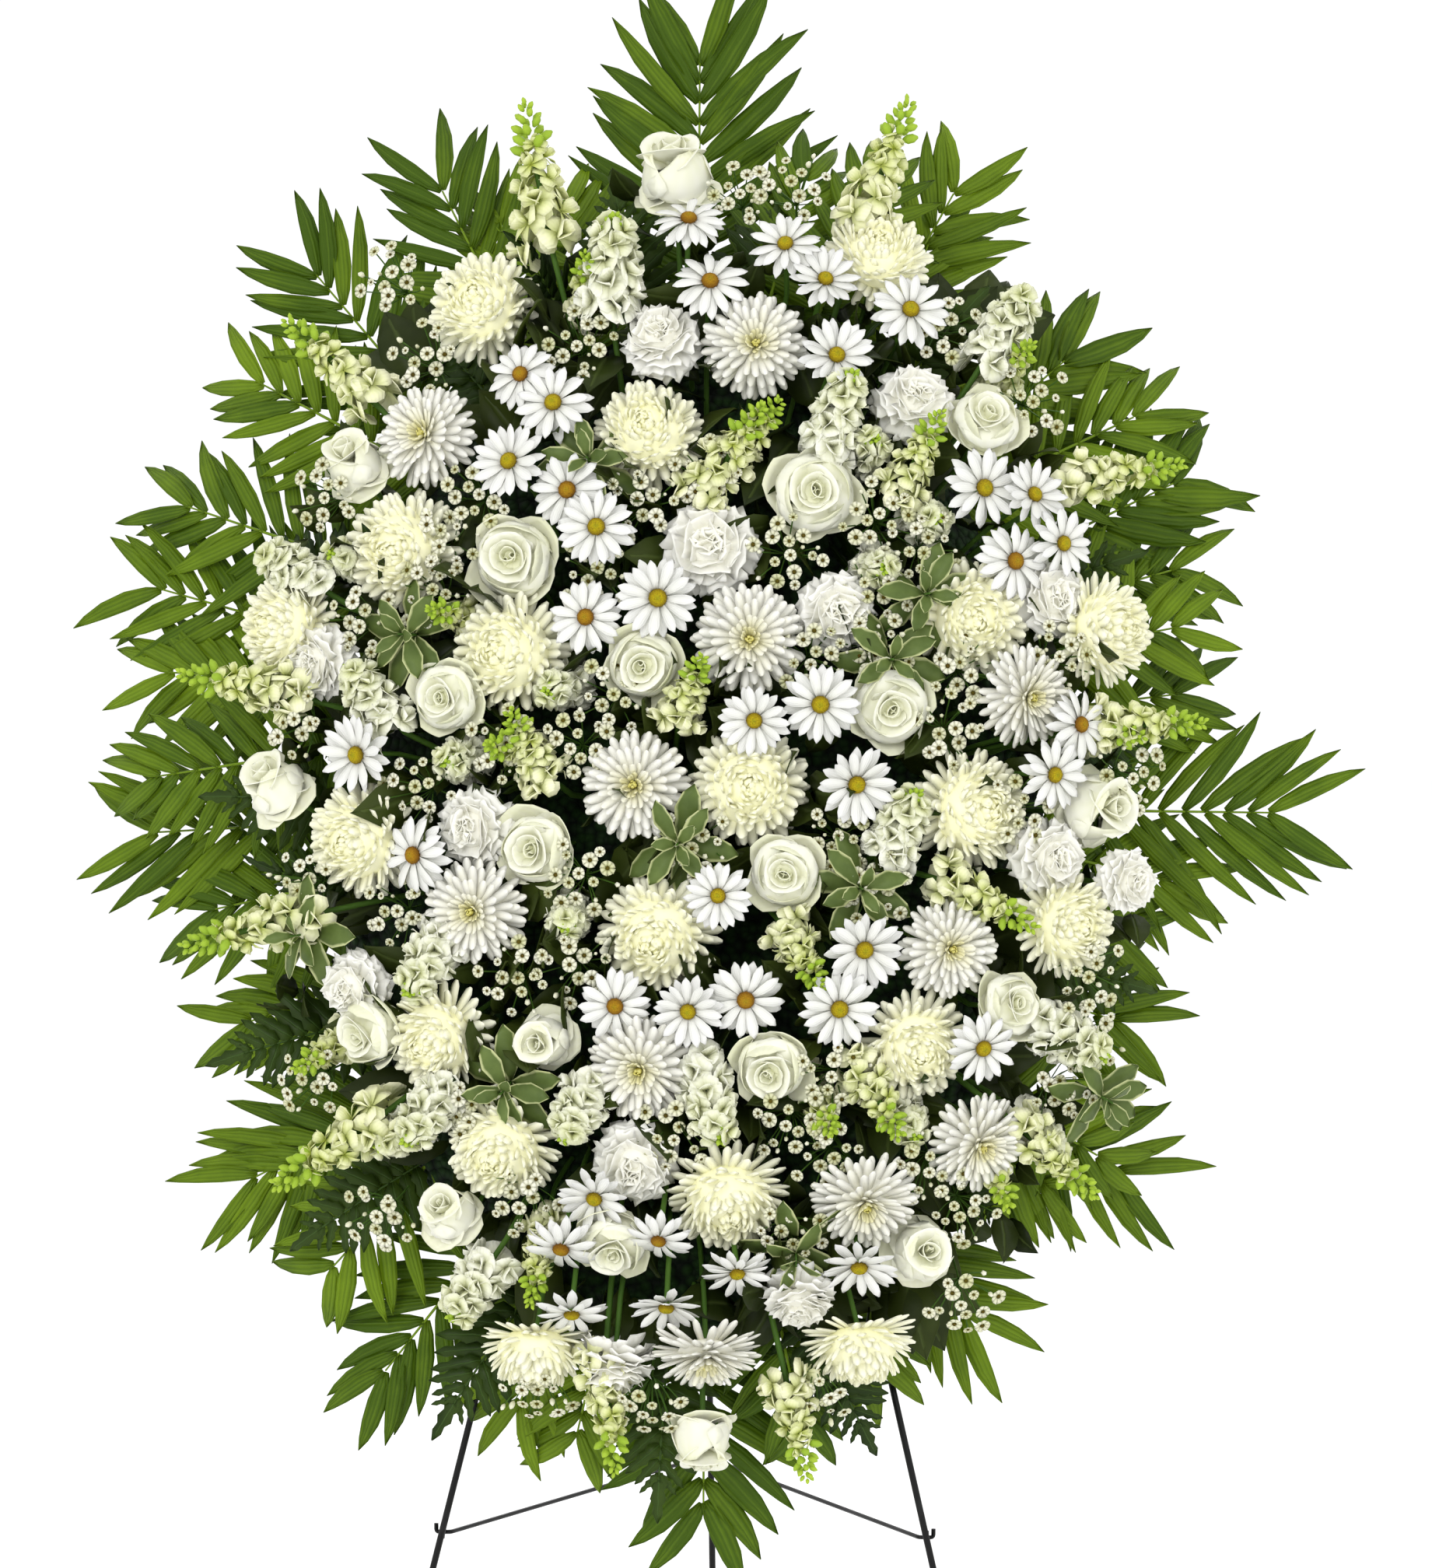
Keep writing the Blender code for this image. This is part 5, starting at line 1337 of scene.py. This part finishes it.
def rim_place(x, height, out, angle):
    """A matrix that lays a leaf on the rim, its tip this many radians round from straight up."""
    return Matrix.Translation(on_easel(x, height, out)) @ frame_turn @ Matrix.Rotation(angle, 4, "Y")


rim_ferns, rim_leaves = [], []
for k in range(RIM_PLACES):
    angle = math.radians(360 * k / RIM_PLACES + leaf_chance.uniform(-4, 4))
    x, height = RIM_HALF_WIDTH * math.sin(angle), GREENS_MIDDLE + RIM_HALF_HEIGHT * math.cos(angle)
    heading = math.atan2(math.sin(angle) * 1.3, math.cos(angle))
    lift = turn_about("X", leaf_chance.uniform(2, 30))
    place = rim_place(x, height, leaf_chance.uniform(0.058, 0.075), heading)
    if k % 2:
        size = leaf_chance.uniform(0.74, 0.92) * (CLIPPED_TO if k == CLIPPED_FERN else 1.0)
        rim_ferns.append((place @ lift @ Matrix.Scale(size, 4), leaf_chance.uniform(-0.1, 0.25)))
    for _ in range(3):
        aim = heading + leaf_chance.uniform(-0.6, 0.6)
        place = rim_place(x * 0.96, height * 0.96, leaf_chance.uniform(0.046, 0.10), aim)
        lean = turn_about("X", leaf_chance.uniform(-8, 40)) @ turn_about("Z", leaf_chance.uniform(-30, 30))
        place = place @ lean @ Matrix.Scale(leaf_chance.uniform(0.8, 1.15), 4)
        rim_leaves.append((place, leaf_chance.uniform(-0.1, 0.3)))

# a few leaves more, where the fronds leave the rim open
RIM_GAPS = [(19.6, -43.0), (18.6, -38.0), (21.6, 38.0), (25.4, 38.6), (20.4, -33.0), (-24.6, 35.0),
            (29.0, -15.0)]
gap_chance = random.Random(5)
for x, height in RIM_GAPS:
    for _ in range(5):
        aim = math.atan2(x, height) + gap_chance.uniform(-0.7, 0.7)
        place = rim_place(x / 110, height / 110, gap_chance.uniform(0.05, 0.07), aim)
        lean = turn_about("X", gap_chance.uniform(-8, 30))
        rim_leaves.append((place @ lean, gap_chance.uniform(-0.1, 0.2)))
grow(fern, rim_ferns, "rim_ferns")
grow(broad_leaf, rim_leaves, "rim_leaves")

PALE_SPRIGS = [(-22.2, 11.4), (-1.8, -5.0), (12.2, -8.4), (14.4, 9.6), (7.4, -36.0), (-15.0, -24.0),
               (17.0, 14.6), (-8.6, 24.6), (30.0, -24.4), (-30.0, -12.4)]
sprig_places = []
for x, height in PALE_SPRIGS:
    out = dome(x / 100, height / 100) - 0.044
    spin = leaf_chance.uniform(0, 360)
    sprig_places.append((leaf_place(x / 100, height / 100, out, *usual_look(x, height), spin, 0.95), 0.0))
grow(pale_sprig, sprig_places, "pale_edged_sprigs")
print("set", len(rim_ferns), "ferns and", len(rim_leaves), "leaves on the rim")

# %% [markdown]
# ## Palm fronds
# The fronds give the spray its star shape. Each frond is one stalk with leaflets in pairs, the longest a
# third of the way up. Its leaflets are folded along the middle and droop a little, and the whole frond bows
# back towards its tip.

# %% Palm fronds
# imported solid: root from the easel's middle and height, heading, length, longest leaflet, distance out
FRONDS = {
    "frond_top": (0.4, 22.0, -1, 38.0, 14.0, 0.0410),
    "frond_top_left": (-5.8, 18.0, -27, 35.0, 11.5, 0.0375),
    "frond_top_right": (5.8, 19.0, 27, 33.5, 10.5, 0.0375),
    "frond_upper_left": (-5.8, 11.0, -40, 41.0, 12.0, 0.0445),
    "frond_upper_right": (5.8, 12.0, 47, 33.5, 11.0, 0.0445),
    "frond_shoulder_left": (-5.8, 4.0, -73, 40.5, 11.0, 0.0375),
    "frond_shoulder_right": (5.8, 7.0, 62, 38.0, 11.0, 0.0410),
    "frond_left": (-5.8, -3.0, -92, 38.5, 12.0, 0.0410),
    "frond_right": (5.8, -3.0, 89, 41.5, 12.5, 0.0375),
    "frond_waist_left": (-5.8, -10.0, -108, 32.0, 9.2, 0.0445),
    "frond_waist_right": (5.8, -11.0, 106, 30.0, 10.5, 0.0445),
    "frond_lower_left": (-5.8, -18.0, -116, 33.0, 11.0, 0.0375),
    "frond_lower_right": (5.8, -18.0, 115, 32.0, 11.0, 0.0410),
    "frond_bottom_left": (-5.8, -25.0, -141, 29.5, 9.6, 0.0445),
    "frond_bottom_right": (5.8, -25.0, 137, 24.5, 10.5, 0.0375),
    "frond_bottom": (1.7, -37.5, 180, 20.5, 10.5, 0.0410),
}
# fronds that only the finished spray has, rooted in the bed in front of the others
FRONT_FRONDS = {
    "second_frond_top_left": (-10.0, 20.0, -14, 28.0, 9.5, 0.056),
    "second_frond_top_right": (12.0, 22.0, 17, 24.0, 8.5, 0.056),
    "second_frond_shoulder_left": (-14.0, 12.0, -69, 31.0, 10.5, 0.054),
    "second_frond_upper_left": (-14.0, 20.0, -60, 26.0, 10.0, 0.058),
    "second_frond_upper_right": (14.0, 18.0, 61, 25.5, 9.5, 0.058),
    "second_frond_right": (14.0, 3.0, 80, 26.0, 10.0, 0.055),
    "third_frond_right": (14.0, -3.0, 101, 25.0, 10.5, 0.050),
    "third_frond_upper_right": (14.0, 9.0, 71, 27.0, 10.0, 0.053),
    "second_frond_left": (-14.0, -6.0, -100, 26.0, 10.5, 0.055),
    "second_frond_waist_left": (-14.0, 6.0, -84, 30.0, 10.0, 0.057),
    "second_frond_waist_right": (14.0, -8.0, 101, 21.5, 10.0, 0.057),
    "second_frond_lower_left": (-13.0, -20.0, -120, 23.0, 10.5, 0.054),
    "second_frond_lower_right": (13.0, -23.0, 120, 18.5, 8.6, 0.054),
    "second_frond_bottom_right": (7.0, -30.0, 153, 18.5, 8.8, 0.056),
    "second_frond_bottom_left": (-6.0, -32.0, -158, 19.5, 9.0, 0.056),
    "third_frond_bottom_left": (-4.0, -34.0, -166, 19.0, 8.6, 0.058),
    "front_frond_top": (4.0, 30.0, 14, 20.5, 8.0, 0.085),
    "front_frond_top_left": (-7.0, 28.0, -12, 20.0, 8.5, 0.085),
    "front_frond_top_right": (8.0, 32.0, 22, 18.0, 8.0, 0.090),
    "front_frond_left": (-20.0, 3.0, -96, 24.0, 9.0, 0.085),
    "front_frond_right": (20.0, 8.0, 76, 20.0, 9.0, 0.085),
    "front_frond_lower_left": (-14.0, -24.0, -136, 21.0, 9.0, 0.080),
    "front_frond_lower_right": (16.0, -20.0, 119, 20.0, 7.4, 0.080),
    "front_frond_bottom": (6.0, -34.0, 168, 17.0, 7.6, 0.080),
}
BROAD_FRONDS = ("frond_top", "frond_shoulder_right", "frond_upper_right", "frond_bottom")
for number, (name, row) in enumerate({**FRONDS, **FRONT_FRONDS}.items()):
    x, height, heading, length, longest, out = row
    breadth = 0.0096 if name in BROAD_FRONDS else 0.0078
    bow = 10 if name in FRONDS else 18
    leafy = make_frond(name + "_leaflets", length / 100, longest / 100, bow, 200 + number, breadth)
    leafy.data.transform(rim_place(x / 100, height / 100, out, math.radians(heading)))
    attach(leafy, "front_frame")
    if name in FRONDS:
        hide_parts(name)
print("set", len(FRONDS) + len(FRONT_FRONDS), "fronds")

# %% [markdown]
# ## The easel and the foam holder
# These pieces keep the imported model's shapes, which are already right, and get finishes. The easel is
# black-lacquered wire, a little orange-peeled and rubbed. The holder is moulded green plastic, the foam is
# wet and pitted, and the ties are black nylon.


# %% Finishes for the easel and the holder
def wire_finish():
    """Black lacquer on wire: satin, with a fine orange peel and lighter rubbed patches."""
    finish, tree, shader, place = new_finish("black lacquered wire", 0.35, Specular_IOR_Level=0.22)
    peel = clouds(tree, place, 900.0, 2.0)
    rub = clouds(tree, place, 24.0, 6.0)
    rub.node.inputs["Roughness"].default_value = 0.7
    worn = stretch(tree, rub, 0.55, 0.78)
    colour = blend_colours(tree, worn, (0.003, 0.003, 0.003, 1.0), (0.022, 0.022, 0.023, 1.0))
    colour_and_bump(tree, shader, colour, peel, 0.25, 0.0002)
    tree.links.new(stretch(tree, rub, 0.3, 0.7, 0.28, 0.48), shader.inputs["Roughness"])
    return finish


def grained_finish(name, dark, light, roughness, grain, depth, **shader_values):
    """A mottled colour with a fine grain, for moulded plastic, nylon, foam and zinc."""
    finish, tree, shader, place = new_finish(name, roughness, **shader_values)
    mottle = clouds(tree, place, 40.0, 5.0)
    fine = clouds(tree, place, grain, 3.0)
    colour = blend_colours(tree, mottle, (*dark, 1.0), (*light, 1.0))
    colour_and_bump(tree, shader, colour, fine, 0.35, depth)
    rough = stretch(tree, fine, 0.2, 0.8, roughness - 0.08, roughness + 0.10)
    tree.links.new(rough, shader.inputs["Roughness"])
    return finish


WIRE_BLACK = wire_finish()
ZINC = grained_finish("zinc plate", (0.42, 0.43, 0.44), (0.62, 0.63, 0.64), 0.32, 1400.0, 0.0001,
                      Metallic=1.0)
HOLDER_GREEN = grained_finish("moulded green plastic", (0.012, 0.060, 0.022), (0.022, 0.085, 0.032),
                              0.42, 800.0, 0.0002)
TIE_BLACK = grained_finish("nylon tie", (0.012, 0.012, 0.013), (0.026, 0.026, 0.028), 0.45, 1200.0, 0.0001)
FOAM_GREEN = grained_finish("wet foam", (0.018, 0.055, 0.020), (0.040, 0.11, 0.036), 0.85, 700.0, 0.0012)

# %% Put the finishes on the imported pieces
FINISH_OF_SLOT = {"easel_wire": WIRE_BLACK, "zinc": ZINC, "holder_plastic": HOLDER_GREEN,
                  "tie_nylon": TIE_BLACK, "floral_foam": FOAM_GREEN}
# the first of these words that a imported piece's name holds gives its slot
SLOT_WORDS = [("foam_brick", "floral_foam"), ("foam_strap", "holder_plastic"),
              ("spray_tray", "holder_plastic"), ("cable_tie", "tie_nylon"), ("pivot_", "zinc"),
              ("leg", "easel_wire"), ("brace", "easel_wire"), ("cross_bar", "easel_wire")]
kept = 0
for node, solid in frame["nodes"].items():
    if solid.hide_render:
        continue
    slot = next(slot for word, slot in SLOT_WORDS if word in node)
    solid.data.materials.clear()
    solid.data.materials.append(FINISH_OF_SLOT[slot])
    kept += 1
print("finished", kept, "packed pieces")

# %% [markdown]
# ## Clearing the bench
# The patterns have been copied wherever they are needed, so they go.

# %% Remove the patterns
for shape in patterns:
    bpy.data.objects.remove(shape)
total = 0
for piece in bpy.data.objects:
    if piece.type == "MESH" and not piece.hide_render and piece.name not in frame["nodes"]:
        total += sum(len(face.vertices) - 2 for face in piece.data.polygons)
print("the flowers and leaves have", total, "triangles")

# %% [markdown]
# ## Stage, light and camera
# The spray stands on a plain pale floor that fades into a pale room. One large soft light stands high on
# the left and a weaker one on the right, so petals keep their shading without hard shadows.

# %% Floor and light
floor = add_shape("floor", bpy.ops.mesh.primitive_circle_add, vertices=64, radius=14.0, fill_type="NGON")
floor_finish, tree, shader, place = new_finish("pale floor", 0.9)
dust = clouds(tree, place, 3.0, 4.0)
dusty = blend_colours(tree, dust, (0.975, 0.975, 0.975, 1.0), (0.99, 0.99, 0.99, 1.0))
tree.links.new(dusty, shader.inputs["Base Color"])
floor.data.materials.append(floor_finish)

room = bpy.data.worlds.new("pale room")
room.use_nodes = True
background = room.node_tree.nodes["Background"]
background.inputs["Color"].default_value = (1.0, 1.0, 1.0, 1.0)
background.inputs["Strength"].default_value = 1.04
bpy.context.scene.world = room


def soft_light(name, place, aim, size, power):
    """A round area light, turned towards a point."""
    data = bpy.data.lights.new(name, "AREA")
    data.shape = "DISK"
    data.size = size
    data.energy = power
    light = bpy.data.objects.new(name, data)
    bpy.context.scene.collection.objects.link(light)
    light.location = place
    light.rotation_euler = (aim - Vector(place)).to_track_quat("-Z", "Y").to_euler()


middle = Vector((APEX.x, -0.20, CHART_HEIGHT))
soft_light("key light", (-1.1, -4.0, 2.4), middle, 1.4, 40.0)
soft_light("fill light", (2.6, -2.4, 1.5), middle, 1.8, 9.0)
soft_light("back light", (0.8, 2.6, 2.6), middle, 1.8, 25.0)

# %% Camera
aim = Vector((APEX.x + 0.0295, FOOT_Y + 0.021, 0.967))
camera_data = bpy.data.cameras.new("camera")
camera = bpy.data.objects.new("camera", camera_data)
bpy.context.scene.collection.objects.link(camera)
camera_data.sensor_fit = "VERTICAL"
camera_data.sensor_height = 36.0
camera_data.lens = 145.5
camera.location = EYE
camera.rotation_euler = (aim - camera.location).to_track_quat("-Z", "Y").to_euler()
bpy.context.scene.camera = camera
bpy.context.scene.view_settings.view_transform = "Standard"
